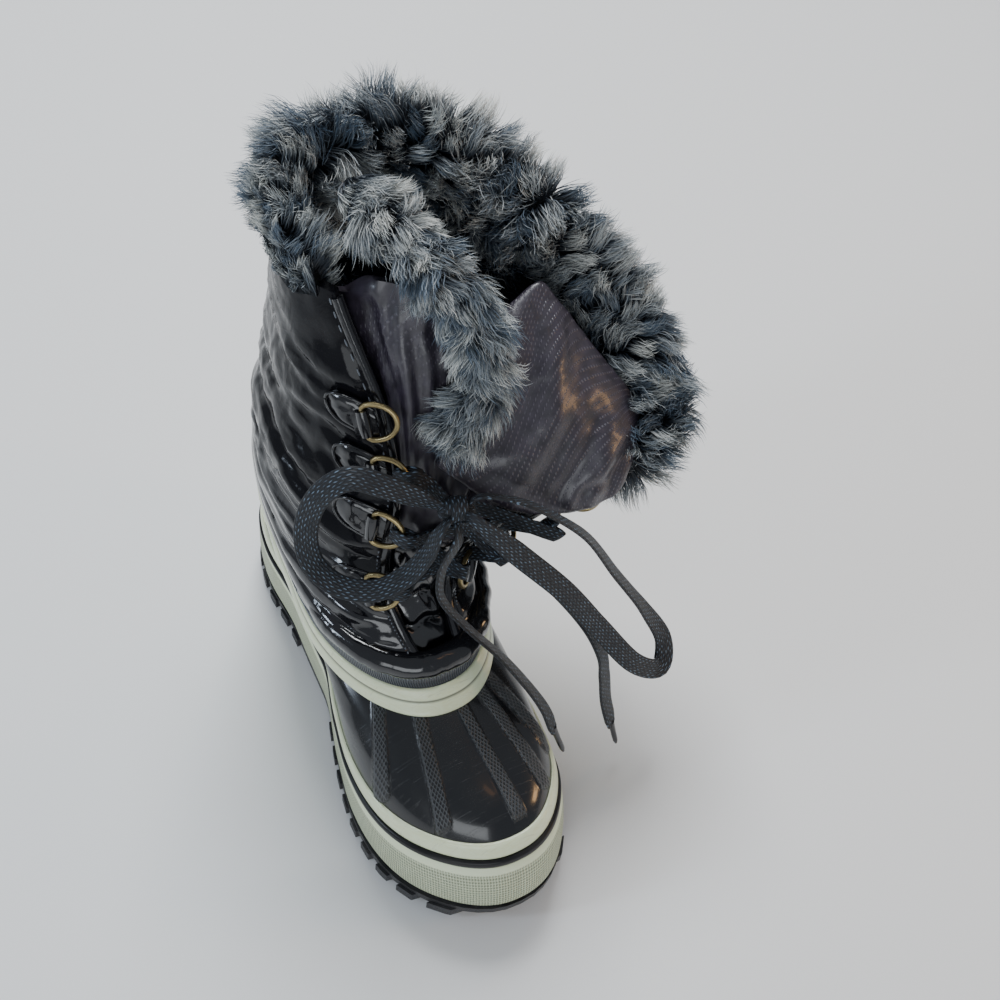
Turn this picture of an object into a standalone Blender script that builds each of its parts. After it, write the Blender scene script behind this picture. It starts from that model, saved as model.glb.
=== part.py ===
"""Left snow boot of the duck-boot kind: rubber shell on a lugged outsole, padded lace-up upper, fur cuff.

Metres, +Z up. The toe points along -Y and the lateral (little-toe) side is +X.
The origin is on the floor, under the middle of the heel.
"""

import math

import bmesh
import bpy
import numpy as np
from mathutils import Vector
from mathutils.bvhtree import BVHTree

MM = 0.001

# ---- driving dimensions, in millimetres ----
SOLE_LENGTH = 272.0
SOLE_WIDTH = 107.0
HEEL_BACK = 51.0
TOE_TIP = HEEL_BACK - SOLE_LENGTH
SPRING_START = -142.0
SPRING_HEIGHT = 9.0
# How far back and up the toe cap and the vamp stand from their ring tables.
VAMP_BACK = 4.0
VAMP_RISE = 6.0
TOE_FULLNESS = 0.88
GAP = 0.3

LUG_DEPTH = 5.5
SOLE_TOP = 10.7
LUG_OVERHANG = 1.6
LUG_PITCH = 14.0
LUG_WIDTH = 8.0

RAND_WALL = 3.0
SHELL_WALL = 2.6
UPPER_WALL = 6.0
TONGUE_WALL = 7.0
INSOLE_THICK = 3.5

SLUMP_FROM = 128.0
SLUMP_TO = 280.0
SLUMP_OUT = 44.0
SLUMP_OUT_SIDE = 36.0
SLUMP_FORWARD = 66.0
SLUMP_DOWN = 100.0

LACE_RADIUS = 2.5
LACE_HALF_WIDTH = 3.2
LACE_STEP = 8.0
CORD_SPACING = 5.6
LACE_HALF_THICK = 1.0
RING_WIRE = 1.3

RING_COUNT = 40
# The fur's outline: out from the wall's face and up from its edge.
CUFF_SECTION = (
    (12.0, -30.0),
    (19.0, -18.0),
    (20.0, -2.0),
    (15.0, 13.0),
    (4.0, 20.0),
    (-8.0, 17.0),
    (-13.0, 8.0),
)

# Plan of the sole: along runs from the heel (0) to the toe (1). centre_x is the last's middle line.
# medial and lateral widen or narrow an ellipse of the sole's length and width.
SOLE_PLAN = {
    "along": (0.0, 0.05, 0.15, 0.30, 0.45, 0.60, 0.70, 0.80, 0.90, 0.96, 1.0),
    "centre_x": (0.0, 0.0, 0.5, 1.5, 1.0, -1.0, -2.0, -1.5, 1.0, 2.5, 3.5),
    "medial": (1.08, 1.04, 0.92, 0.74, 0.72, 0.89, 1.03, 1.15, 1.23, 1.20, 1.16),
    "lateral": (1.20, 1.13, 0.98, 0.82, 0.86, 0.97, 1.06, 1.16, 1.23, 1.20, 1.16),
}

# Ring tables: a row for each level, bottom to top, with the columns named in RING_COLUMNS.
# y and z place the ring's front and back, sole_share is how far it follows the sole's plan,
# side_dip lowers its sides and lean moves it sideways.
RING_COLUMNS = ("y_front", "z_front", "y_back", "z_back", "half_width", "sole_share", "side_dip", "lean")

# Rings of the rubber shell's outer face, from the feather edge to the throat.
SHELL_RINGS = {
    "feather": (-216.0, 11.0, 46.5, 11.0, 48.4, 1.00, 0.0, 0.0),
    "rand": (-215.0, 30.0, 48.0, 30.0, 48.8, 1.00, 0.0, 0.0),
    "band": (-211.0, 46.0, 47.5, 45.0, 48.4, 0.98, 0.0, 0.0),
    "toe_low": (-203.0, 58.0, 46.5, 58.0, 47.4, 0.92, 0.0, 0.0),
    "toe_mid": (-189.0, 67.5, 45.0, 70.0, 46.2, 0.82, 0.0, 0.0),
    "toe_high": (-167.0, 76.0, 43.0, 83.0, 44.6, 0.50, -1.0, 0.0),
    "throat": (-141.0, 83.0, 41.5, 97.0, 44.0, 0.30, -4.0, 0.0),
}

# Rings of the padded upper's outer face, from its edge inside the shell to the collar.
UPPER_RINGS = {
    "tuck": (-134.0, 71.0, 35.5, 84.0, 34.6, 0.30, -4.0, 0.0),
    "seam": (-136.0, 85.0, 37.2, 98.5, 38.8, 0.30, -4.0, 0.0),
    "roll_low": (-136.8, 92.0, 40.6, 105.0, 42.4, 0.30, -4.0, 0.0),
    "roll_high": (-132.2, 99.5, 41.2, 113.0, 43.0, 0.25, -3.5, 0.0),
    "vamp": (-132.0, 110.0, 43.0, 122.0, 44.0, 0.18, -2.0, 0.0),
    "instep": (-116.0, 122.0, 42.0, 132.0, 42.5, 0.08, 0.0, 0.0),
    "bend": (-101.0, 137.0, 42.0, 145.0, 41.5, 0.0, 2.0, 1.0),
    "ankle": (-90.0, 156.0, 44.0, 161.0, 41.5, 0.0, 2.0, 4.0),
    "calf_low": (-81.0, 186.0, 46.0, 190.0, 41.0, 0.0, 0.0, 10.0),
    "calf_high": (-64.0, 222.0, 46.0, 230.0, 41.5, 0.0, 0.0, 17.0),
    "collar": (-37.0, 272.0, 42.0, 283.0, 44.0, 0.0, 0.0, 24.0),
}

# Rings of the cream welt that stands on the shell's throat, outer face, bottom to top.
TRIM_RINGS = {
    "foot": (-145.5, 84.2, 43.9, 94.8, 46.1, 0.30, -4.0, 0.0),
    "low": (-143.2, 86.0, 43.9, 98.8, 46.1, 0.30, -4.0, 0.0),
    "middle": (-141.0, 91.5, 43.9, 104.5, 45.7, 0.30, -4.0, 0.0),
    "top": (-136.5, 97.0, 43.6, 110.5, 45.2, 0.28, -4.0, 0.0),
}
TRIM_WALL = 1.8

# Front opening of the upper: the angle of each facing's edge at the ring levels.
OPENING = {
    "level": (0.0, 3.6, 4.0, 4.6, 5.4, 6.2, 7.0, 8.0, 9.0, 10.0),
    "medial": (0.0, 0.0, 9.0, 13.0, 16.5, 20.0, 21.0, 21.0, 26.0, 44.0),
    "lateral": (0.0, 0.0, 9.0, 13.0, 16.5, 20.0, 22.0, 26.0, 32.0, 38.0),
}

# The tongue's top folds between the two facings, medial to lateral: x, y, z at mid height and at its edge.
TONGUE_FOLDS = {
    "gather": ((6.0, -60.0, 236.0), (14.0, -36.0, 282.0)),
    "crest": ((24.0, -68.0, 222.0), (34.0, -54.0, 262.0)),
    "shoulder": ((36.0, -76.0, 202.0), (46.0, -64.0, 230.0)),
    "valley": ((50.0, -66.0, 190.0), (62.0, -36.0, 216.0)),
    "ridge": ((66.0, -64.0, 198.0), (88.0, -34.0, 234.0)),
    "panel": ((78.0, -72.0, 189.0), (102.0, -66.0, 212.0)),
}
# The middle line of the fur along the tongue's top and lateral edge.
TONGUE_FUR_ROUTE = (
    (-1.0, -15.0, 301.0),
    (8.0, -29.0, 298.0),
    (24.0, -49.0, 287.0),
    (42.0, -61.0, 263.0),
    (54.0, -69.0, 239.0),
    (54.0, -79.0, 215.0),
    (40.0, -85.0, 197.0),
)
TONGUE_TUCK = 9.0
TONGUE_INWARD = (0.0, 0.9, -0.44)

# D-ring levels on each facing, and how far round from the facing's edge its tab reaches.
RING_LEVELS = {"medial": (6.25, 7.75, 8.5, 9.05), "lateral": (6.1, 7.6, 8.48, 9.2)}
TAB_FROM = 3.0
TAB_TO = 27.0
TAB_HALF = 8.5
TAB_THICK = 2.4
RING_BAR = 17.5
RING_DEPTH = 15.0
RING_STAND = 5.2
SLACK_STAND = 0.6
SLACK_RING_STAND = 0.2

# Free stretches of the lace, by hand: from the knot, and back to it for the two loops of the bow.
KNOT = (15.9, -99.9, 197.7)
KNOT_RADIUS = 6.8
LOOP_CLEAR = 1.4
END_CLEAR = 0.9
LACE_ROUTES = {
    "lace_loop_medial": (
        (5.1, -94.5, 203.0),
        (-12.2, -88.6, 217.4),
        (-27.0, -81.9, 224.1),
        (-39.5, -78.4, 213.1),
        (-46.0, -78.9, 193.1),
        (-45.8, -84.4, 173.1),
        (-37.5, -93.9, 162.1),
        (-23.8, -101.9, 160.1),
        (-10.5, -104.9, 167.1),
        (-1.2, -107.1, 182.4),
        (4.9, -106.6, 197.7),
    ),
    "lace_loop_lateral": (
        (28.0, -101.0, 202.7),
        (41.8, -106.6, 198.4),
        (55.0, -111.7, 188.1),
        (76.5, -118.2, 162.1),
        (94.0, -126.2, 128.1),
        (110.7, -135.8, 96.1),
        (120.5, -144.8, 73.1),
        (113.9, -154.9, 65.1),
        (96.4, -153.1, 81.1),
        (78.0, -141.4, 112.1),
        (59.8, -131.9, 145.1),
        (38.8, -121.6, 175.4),
        (21.0, -111.3, 199.6),
    ),
    "lace_end_front": (
        (11.6, -110.9, 191.5),
        (4.8, -111.6, 171.4),
        (5.1, -113.9, 150.1),
        (14.0, -122.9, 132.1),
        (27.0, -135.9, 114.1),
        (36.8, -146.0, 96.1),
        (43.8, -154.9, 80.1),
        (47.3, -162.4, 66.1),
    ),
    "lace_end_side": (
        (23.5, -106.0, 187.1),
        (42.0, -114.1, 162.7),
        (61.4, -123.9, 132.5),
        (75.8, -134.6, 105.4),
        (83.0, -142.9, 84.1),
        (85.5, -146.9, 65.1),
        (87.5, -151.4, 43.1),
        (90.0, -157.9, 25.1),
    ),
}
LACE_TO_KNOT = {"medial": (11.0, -86.0, 200.0), "lateral": (30.0, -97.0, 186.0)}
AGLET_LENGTH = 16.0
AGLET_RADIUS = 1.7
LACE_OUT = (0.0, -0.8, 0.6)

COLOURS = {
    "black_rubber": ((0.012, 0.013, 0.016), 0.32, 0.0),
    "cream_rubber": ((0.62, 0.66, 0.47), 0.45, 0.0),
    "dark_satin": ((0.045, 0.036, 0.042), 0.38, 0.0),
    "charcoal_fur": ((0.07, 0.09, 0.11), 0.9, 0.0),
    "black_patent": ((0.008, 0.008, 0.010), 0.08, 0.0),
    "black_cord": ((0.02, 0.022, 0.026), 0.75, 0.0),
    "aged_brass": ((0.42, 0.33, 0.15), 0.35, 1.0),
    "felt": ((0.10, 0.10, 0.10), 0.95, 0.0),
}


def clear_scene():
    for item in list(bpy.data.objects):
        bpy.data.objects.remove(item)


def collection_named(name):
    made = bpy.data.collections.new(name)
    bpy.context.scene.collection.children.link(made)
    return made


def material_named(name):
    found = bpy.data.materials.get(name)
    if found:
        return found
    colour, roughness, metallic = COLOURS[name]
    made = bpy.data.materials.new(name)
    made.use_nodes = True
    shader = made.node_tree.nodes["Principled BSDF"]
    shader.inputs["Base Color"].default_value = (*colour, 1.0)
    shader.inputs["Roughness"].default_value = roughness
    shader.inputs["Metallic"].default_value = metallic
    return made


def add_object(name, data, material, place):
    made = bpy.data.objects.new(name, data)
    if material:
        data.materials.append(material_named(material))
    place.objects.link(made)
    return made


def curve_through(knots, values, at):
    """Smooth interpolation of a short table, with no overshoot between rows that rise or fall together."""
    knots = np.asarray(knots, float)
    values = np.asarray(values, float)
    slopes = np.diff(values) / np.diff(knots)
    tangents = np.empty(len(values))
    tangents[0] = slopes[0]
    tangents[-1] = slopes[-1]
    same_way = slopes[:-1] * slopes[1:] > 0
    means = 2 * slopes[:-1] * slopes[1:] / np.where(same_way, slopes[:-1] + slopes[1:], 1.0)
    tangents[1:-1] = np.where(same_way, means, 0.0)
    at = np.clip(np.asarray(at, float), knots[0], knots[-1])
    k = np.clip(np.searchsorted(knots, at, side="right") - 1, 0, len(knots) - 2)
    step = knots[k + 1] - knots[k]
    t = (at - knots[k]) / step
    return (
        (2 * t**3 - 3 * t**2 + 1) * values[k]
        + (t**3 - 2 * t**2 + t) * step * tangents[k]
        + (3 * t**2 - 2 * t**3) * values[k + 1]
        + (t**3 - t**2) * step * tangents[k + 1]
    )


def ease(low, high, value):
    t = np.clip((value - low) / (high - low), 0.0, 1.0)
    return t * t * (3 - 2 * t)


def spring(y):
    """How far the toe is lifted off the floor."""
    t = np.clip((SPRING_START - y) / (SPRING_START - TOE_TIP), 0.0, 1.1)
    return SPRING_HEIGHT * t**1.7


def plan_widths(along):
    medial = curve_through(SOLE_PLAN["along"], SOLE_PLAN["medial"], along)
    lateral = curve_through(SOLE_PLAN["along"], SOLE_PLAN["lateral"], along)
    centre = curve_through(SOLE_PLAN["along"], SOLE_PLAN["centre_x"], along)
    return medial, lateral, centre


def ring_points(row, angles, outset=0.0):
    """Points of one ring. Angle 0 is the toe, a quarter turn is lateral, half a turn the heel."""
    ring = dict(zip(RING_COLUMNS, row, strict=True))
    along = (1 + np.cos(angles)) / 2
    side = np.sin(angles)
    medial, lateral, centre = plan_widths(along)
    shape = np.where(side >= 0, lateral, medial)
    shape = 1 + (shape - 1) * ring["sole_share"]
    broad = np.sign(side) * np.abs(side) ** TOE_FULLNESS
    x = ring["lean"] + centre * ring["sole_share"] + (ring["half_width"] * shape + outset) * broad
    y = (ring["y_back"] + outset) + (ring["y_front"] - ring["y_back"] - 2 * outset) * along
    z = ring["z_back"] + (ring["z_front"] - ring["z_back"]) * along + ring["side_dip"] * side**2
    z = z + spring(y) * ease(110.0, 60.0, z)
    raised = ease(22.0, 60.0, z) * (1 - ease(105.0, 150.0, z)) * ease(-40.0, -120.0, y)
    return np.column_stack([x, y + VAMP_BACK * raised, z + VAMP_RISE * raised])


def row_between(table, level):
    """The ring row at a level between the table's rows, where level 0 is the first row."""
    rows = np.array(list(table.values()), float)
    return [float(curve_through(range(len(rows)), rows[:, k], level)) for k in range(rows.shape[1])]


def slump(points, angles):
    """The slack lateral side of the shaft falls outward, forward and down; the medial side stands."""
    turn = np.degrees((np.asarray(angles) + math.pi) % (2 * math.pi) - math.pi)
    height = np.clip((points[:, 2] - SLUMP_FROM) / (SLUMP_TO - SLUMP_FROM), 0.0, 1.2)
    front = 1.08 * ease(-44.0, 38.0, turn) * height**1.35
    spread = front * (1 - ease(40.0, 182.0, turn))
    fall = front * (1 - ease(40.0, 156.0, turn))
    moved = points.copy()
    moved[:, 0] += spread * (SLUMP_OUT + SLUMP_OUT_SIDE * np.sin(angles) ** 2)
    moved[:, 1] -= fall * SLUMP_FORWARD
    moved[:, 2] -= fall * SLUMP_DOWN
    return moved


def ring_angles(count):
    return np.arange(count) * 2 * math.pi / count


def sole_outline(count, outset):
    row = (TOE_TIP + 1.5, 0.0, HEEL_BACK - 1.5, 0.0, SOLE_WIDTH / 2 - 1.5, 1.0, 0.0, 0.0)
    points = ring_points(row, ring_angles(count), outset)
    points[:, 2] = 0.0
    return points


def grid_mesh(name, rows, closed_rows=True):
    """A surface through rows of points, each row a closed ring or an open strip."""
    made = bmesh.new()
    grid = [[made.verts.new(Vector(p) * MM) for p in row] for row in rows]
    for low, high in zip(grid, grid[1:]):
        count = len(low)
        for i in range(count if closed_rows else count - 1):
            j = (i + 1) % count
            made.faces.new((low[i], low[j], high[j], high[i]))
    bmesh.ops.recalc_face_normals(made, faces=made.faces)
    mesh = bpy.data.meshes.new(name)
    made.to_mesh(mesh)
    made.free()
    mesh.shade_smooth()
    return mesh


def closed_loft(name, sections):
    """A solid through closed sections, with both ends filled."""
    made = bmesh.new()
    grid = [[made.verts.new(Vector(p) * MM) for p in section] for section in sections]
    for low, high in zip(grid, grid[1:]):
        count = len(low)
        for i in range(count):
            j = (i + 1) % count
            made.faces.new((low[i], low[j], high[j], high[i]))
    made.faces.new(list(reversed(grid[0])))
    made.faces.new(grid[-1])
    bmesh.ops.recalc_face_normals(made, faces=made.faces)
    mesh = bpy.data.meshes.new(name)
    made.to_mesh(mesh)
    made.free()
    mesh.shade_smooth()
    return mesh


def prism_mesh(name, outline, low, high):
    """An upright prism over a flat outline of x and y."""
    sections = [[(x, y, z) for x, y in outline] for z in (low, high)]
    return closed_loft(name, sections)


def weld(mesh):
    made = bmesh.new()
    made.from_mesh(mesh)
    bmesh.ops.remove_doubles(made, verts=made.verts, dist=1e-6)
    bmesh.ops.recalc_face_normals(made, faces=made.faces)
    made.to_mesh(mesh)
    made.free()
    return mesh


def facing_out(mesh):
    """Turns an open band's faces so that they point away from the boot's upright middle line."""
    total = sum(
        face.area * (face.normal.x * face.center.x + face.normal.y * (face.center.y + 0.08))
        for face in mesh.polygons
    )
    if total < 0:
        mesh.flip_normals()
    return mesh


def thicken(item, wall):
    solid = item.modifiers.new("wall", "SOLIDIFY")
    solid.thickness = wall * MM
    solid.offset = -1.0
    solid.use_even_offset = True
    return solid


def boolean(item, other, operation):
    cut = item.modifiers.new(operation.lower(), "BOOLEAN")
    cut.object = other
    cut.operation = operation
    cut.solver = "EXACT"


def helper(name, mesh, place):
    made = add_object(name, mesh, None, place)
    made.hide_render = True
    made.display_type = "WIRE"
    return made


def baked(item, place):
    """The object's evaluated mesh as a plain mesh object, in place of the object."""
    bpy.context.view_layer.update()
    graph = bpy.context.evaluated_depsgraph_get()
    mesh = bpy.data.meshes.new_from_object(item.evaluated_get(graph))
    name = item.name
    bpy.data.objects.remove(item)
    made = bpy.data.objects.new(name, mesh)
    place.objects.link(made)
    return made


def bend_to_spring(item, step=13.0):
    """Cuts a flat-built solid into strips across the toe and lifts them by the toe spring."""
    made = bmesh.new()
    made.from_mesh(item.data)
    for y in np.arange(SPRING_START, TOE_TIP, -step):
        every = made.verts[:] + made.edges[:] + made.faces[:]
        bmesh.ops.bisect_plane(made, geom=every, plane_co=(0, y * MM, 0), plane_no=(0, 1, 0), dist=1e-6)
    for vert in made.verts:
        vert.co.z += float(spring(vert.co.y / MM)) * MM
    bmesh.ops.triangulate(made, faces=made.faces)
    made.to_mesh(item.data)
    made.free()


# ---- outsole: one rubber slab with chevron lugs that break its edge ----


def chevron_arms(y, side, point_to_heel):
    """One arm of a chevron lug, from near the middle line to beyond the sole's edge."""
    slant = -9.0 if point_to_heel else 9.0
    inner, outer = 3.5, SOLE_WIDTH / 2 + 8
    half = LUG_WIDTH / 2
    return [
        (side * inner, y - half),
        (side * outer, y - half + slant),
        (side * outer, y + half + slant),
        (side * inner, y + half),
    ]


def make_outsole(boot, helpers):
    outline = [tuple(p[:2]) for p in sole_outline(64, 0.0)]
    wider = [tuple(p[:2]) for p in sole_outline(64, LUG_OVERHANG)]
    slab = add_object("outsole", prism_mesh("outsole", outline, LUG_DEPTH, SOLE_TOP), None, boot)
    edge = helper("tread_outline", prism_mesh("tread_outline", wider, -2.0, SOLE_TOP - 1.5), helpers)
    forefoot = np.arange(-207.0, -84.0, LUG_PITCH)
    heel = np.arange(-24.0, 52.0, LUG_PITCH)
    bodies = []
    for y in forefoot:
        bodies += [chevron_arms(y, side, False) for side in (-1, 1)]
    for y in heel:
        bodies += [chevron_arms(y, side, True) for side in (-1, 1)]
    pads = [(0.0, 0.0, 9.0, 13.0), (0.0, -130.0, 9.0, 13.0)]
    merged = bmesh.new()
    for arm in bodies:
        mesh = prism_mesh("lug", arm, 0.0, LUG_DEPTH + 2.0)
        merged.from_mesh(mesh)
        bpy.data.meshes.remove(mesh)
    lug_mesh = bpy.data.meshes.new("tread_blocks")
    merged.to_mesh(lug_mesh)
    merged.free()
    blocks = helper("tread_blocks", lug_mesh, helpers)
    boolean(blocks, edge, "INTERSECT")
    boolean(slab, blocks, "UNION")
    for number, (x, y, half_x, half_y) in enumerate(pads):
        corners = [
            (x - half_x, y - half_y),
            (x + half_x, y - half_y),
            (x + half_x, y + half_y),
            (x - half_x, y + half_y),
        ]
        name = f"tread_pad_{number}"
        pad = helper(name, prism_mesh(name, corners, 0.0, LUG_DEPTH + 2.0), helpers)
        boolean(slab, pad, "UNION")
    sole = baked(slab, boot)
    bend_to_spring(sole)
    sole.data.materials.clear()
    sole.data.materials.append(material_named("black_rubber"))
    return sole


def make_insole(boot):
    outline = [tuple(p[:2]) for p in sole_outline(40, -9.0)]
    low = SOLE_TOP + GAP
    insole = add_object("insole", prism_mesh("insole", outline, low, low + INSOLE_THICK), "felt", boot)
    bend_to_spring(insole)
    return insole


# ---- rubber shell and the textured rand round its foot ----


def make_shell(boot):
    angles = ring_angles(RING_COUNT)
    levels = [0, 1, 2, 3, 3.6, 4.3, 5, 6]
    rows = [ring_points(row_between(SHELL_RINGS, level), angles) for level in levels]
    mesh = facing_out(grid_mesh("shell", rows))
    shell = add_object("shell", mesh, "black_rubber", boot)
    thicken(shell, SHELL_WALL)
    return shell


def make_rand(boot):
    """The cream foxing: tall at the toe bumper and the heel, lower at the waist."""
    angles = ring_angles(RING_COUNT)
    flare, clear = 2.0, GAP + 0.4 + RAND_WALL
    low = ring_points((-216.0, 11.0, 46.5, 11.0, 48.4, 1.0, 0.0, 0.0), angles, clear + flare)
    middle = ring_points((-215.6, 20.0, 47.2, 20.0, 48.6, 1.0, -0.5, 0.0), angles, clear + 0.8 * flare)
    high = ring_points((-214.0, 36.0, 48.4, 32.0, 49.0, 1.0, -5.0, 0.0), angles, clear)
    mesh = facing_out(grid_mesh("rand", [low, middle, high]))
    rand = add_object("rand", mesh, "cream_rubber", boot)
    thicken(rand, RAND_WALL)
    return rand


# ---- padded upper ----


def on_upper(level, degrees):
    angle = np.radians([degrees])
    return slump(ring_points(row_between(UPPER_RINGS, level), angle), angle)[0]


def upper_point(level, degrees, outset=0.0):
    """A point on the upper's outer face at a ring level and an angle, moved off the face by outset."""
    point = on_upper(level, degrees)
    if outset == 0.0:
        return point
    last = len(UPPER_RINGS) - 1
    upward = on_upper(min(level + 0.05, last), degrees) - on_upper(max(level - 0.05, 0.0), degrees)
    onward = on_upper(level, degrees + 1.0) - on_upper(level, degrees - 1.0)
    normal = np.cross(upward, onward)
    normal /= np.linalg.norm(normal)
    return point - normal * outset


def facing_edges(level):
    lateral = float(curve_through(OPENING["level"], OPENING["lateral"], level))
    medial = float(curve_through(OPENING["level"], OPENING["medial"], level))
    return lateral, 360.0 - medial


def upper_row(level, outset=0.0):
    """One row of the upper, from its lateral facing edge round the heel to its medial facing edge."""
    lateral, medial = facing_edges(level)
    turns = np.linspace(lateral, medial, RING_COUNT + 1)
    return [upper_point(level, turn, outset) for turn in turns]


def make_upper(boot):
    last = len(UPPER_RINGS) - 1
    levels = [0, 1, 2, 3, 3.6, 4, 4.6, 5.4, 6.2, 7, 7.5, 8, 8.5, 9, 9.5, last]
    mesh = grid_mesh("upper", [upper_row(level) for level in levels], closed_rows=False)
    mesh = facing_out(weld(mesh))
    upper = add_object("upper", mesh, "dark_satin", boot)
    thicken(upper, UPPER_WALL)
    return upper


# ---- tongue ----


def tongue_rows():
    """Rows from under the vamp to the upper edge. Both side edges are tucked behind the facings."""
    across = np.linspace(0.0, 1.0, 17)
    inset = UPPER_WALL + 1.8
    rows = []
    for level in (3.75, 4.3, 5.0, 5.8, 6.6, 7.4, 8.0):
        lateral, medial = facing_edges(level)
        low = 1 - float(ease(3.75, 5.6, level))
        tuck = TONGUE_TUCK + 8.0 * low
        turns = (medial - 360.0 - tuck) * (1 - across) + (lateral + tuck) * across
        rise = 4.5 * float(ease(4.6, 7.0, level)) * np.clip(np.sin(np.pi * across), 0, 1) ** 1.6
        rise = rise - 3.0 * ease(0.68, 0.95, across) - 1.2 * ease(0.32, 0.1, across) - 1.0 * low
        rows.append([upper_point(level, t % 360.0, r - inset) for t, r in zip(turns, rise)])
    for side, level in enumerate((9.0, 9.93)):
        lateral, medial = facing_edges(level)
        behind = inset + 1.8
        knots = [upper_point(level, medial - TONGUE_TUCK, -behind), upper_point(level, medial, -behind)]
        knots += [fold[side] for fold in TONGUE_FOLDS.values()]
        behind += 5.4
        knots += [upper_point(level, lateral, -behind), upper_point(level, lateral + TONGUE_TUCK, -behind)]
        knots = np.array(knots)
        stations = np.concatenate([[0.0, 0.1], np.linspace(0.22, 0.82, len(TONGUE_FOLDS)), [0.93, 1.0]])
        rows.append(np.column_stack([curve_through(stations, knots[:, k], across) for k in range(3)]))
    return np.array(rows)


def faces_of(items):
    """The faces of finished solids, for laying other pieces clear of them."""
    bpy.context.view_layer.update()
    graph = bpy.context.evaluated_depsgraph_get()
    merged = bmesh.new()
    for item in items:
        mesh = bpy.data.meshes.new_from_object(item.evaluated_get(graph))
        merged.from_mesh(mesh)
        bpy.data.meshes.remove(mesh)
    tree = BVHTree.FromBMesh(merged)
    merged.free()
    return tree


def clear_of(point, faces, gap):
    """The point, moved straight out of a solid's face until the gap is open."""
    for _ in range(3):
        place, normal, _, distance = faces.find_nearest(Vector(point) * MM)
        outside = (Vector(point) * MM - place).dot(normal) >= 0
        short = gap - (distance if outside else -distance) / MM
        if short <= 0:
            break
        way = Vector(point) * MM - place if outside and distance > 1e-5 else normal
        point = np.array(point) + np.array(way.normalized()) * short
    return point


def slab_mesh(name, rows, shift):
    """A solid between an open grid of points and the same grid moved by shift."""
    rows = np.asarray(rows)
    down, across = rows.shape[:2]
    made = bmesh.new()
    front = [[made.verts.new(Vector(p) * MM) for p in row] for row in rows]
    back = [[made.verts.new(Vector(p) * MM) for p in row] for row in rows + np.asarray(shift)]
    for i in range(down - 1):
        for j in range(across - 1):
            for grid in (front, back):
                made.faces.new((grid[i][j], grid[i][j + 1], grid[i + 1][j + 1], grid[i + 1][j]))
    rim = [(0, j) for j in range(across)] + [(i, across - 1) for i in range(1, down)]
    rim += [(down - 1, j) for j in range(across - 2, -1, -1)] + [(i, 0) for i in range(down - 2, 0, -1)]
    for (i, j), (k, m) in zip(rim, rim[1:] + rim[:1]):
        made.faces.new((front[i][j], front[k][m], back[k][m], back[i][j]))
    bmesh.ops.recalc_face_normals(made, faces=made.faces)
    mesh = bpy.data.meshes.new(name)
    made.to_mesh(mesh)
    made.free()
    mesh.shade_smooth()
    return mesh


def make_tongue(boot):
    rows = tongue_rows()
    steps = np.concatenate([np.arange(0, 6), np.linspace(6, len(rows) - 1, 6)])
    knots = np.arange(len(rows))
    finer = np.empty((len(steps), rows.shape[1], 3))
    for column in range(rows.shape[1]):
        for k in range(3):
            finer[:, column, k] = curve_through(knots, rows[:, column, k], steps)
    shift = np.array(TONGUE_INWARD) * TONGUE_WALL
    return add_object("tongue", slab_mesh("tongue", finer, shift), "dark_satin", boot)


# ---- throat binding ----


def make_throat_trim(boot):
    angles = ring_angles(RING_COUNT)
    rows = [ring_points(row, angles) for row in TRIM_RINGS.values()]
    trim = add_object("throat_trim", facing_out(grid_mesh("throat_trim", rows)), "cream_rubber", boot)
    thicken(trim, TRIM_WALL)
    return trim


# ---- lacing hardware ----


def facing_turn(level, side, away):
    """The angle that lies away degrees behind the facing's edge, on the medial or lateral side."""
    lateral, medial = facing_edges(level)
    return lateral + away if side == "lateral" else medial - away


def make_tab(boot, name, level, side):
    """A rounded patent tab sewn to the facing; it holds the ring's straight bar."""
    step = upper_point(level + 0.1, facing_turn(level + 0.1, side, 8.0)) - upper_point(
        level - 0.1, facing_turn(level - 0.1, side, 8.0)
    )
    half = TAB_HALF * 0.2 / np.linalg.norm(step)
    rows = []
    for up in (-1.0, -0.45, 0.45, 1.0):
        reach = TAB_TO - (TAB_TO - TAB_FROM) * 0.35 * abs(up) ** 2
        at = level + up * half
        turns = [facing_turn(at, side, away) for away in np.linspace(TAB_FROM, reach, 4)]
        stand = 0.7 + TAB_THICK + (SLACK_STAND if side == "lateral" else 0.0)
        rows.append([upper_point(at, turn, stand) for turn in turns])
    mesh = grid_mesh(name, rows, closed_rows=False)
    outward = ring_frame(level, side)[3]
    if mesh.polygons[len(mesh.polygons) // 2].normal.dot(Vector(outward)) < 0:
        mesh.flip_normals()
    tab = add_object(name, mesh, "black_patent", boot)
    thicken(tab, TAB_THICK)
    return tab


def ring_frame(level, side):
    """Centre of the ring's bar, the way up the facing, the way over the opening and the way out."""
    stand = RING_STAND + (SLACK_STAND + SLACK_RING_STAND if side == "lateral" else 0.0)
    bar = upper_point(level, facing_turn(level, side, 8.0), stand)
    up = upper_point(level + 0.1, facing_turn(level + 0.1, side, 8.0)) - upper_point(
        level - 0.1, facing_turn(level - 0.1, side, 8.0)
    )
    up /= np.linalg.norm(up)
    out = upper_point(level, facing_turn(level, side, 8.0), 1.0) - upper_point(
        level, facing_turn(level, side, 8.0)
    )
    over = np.cross(up, out)
    if side == "lateral":
        over = -over
    over = over * math.cos(math.radians(8.0)) + out * math.sin(math.radians(8.0))
    return bar, up, over, out


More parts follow.
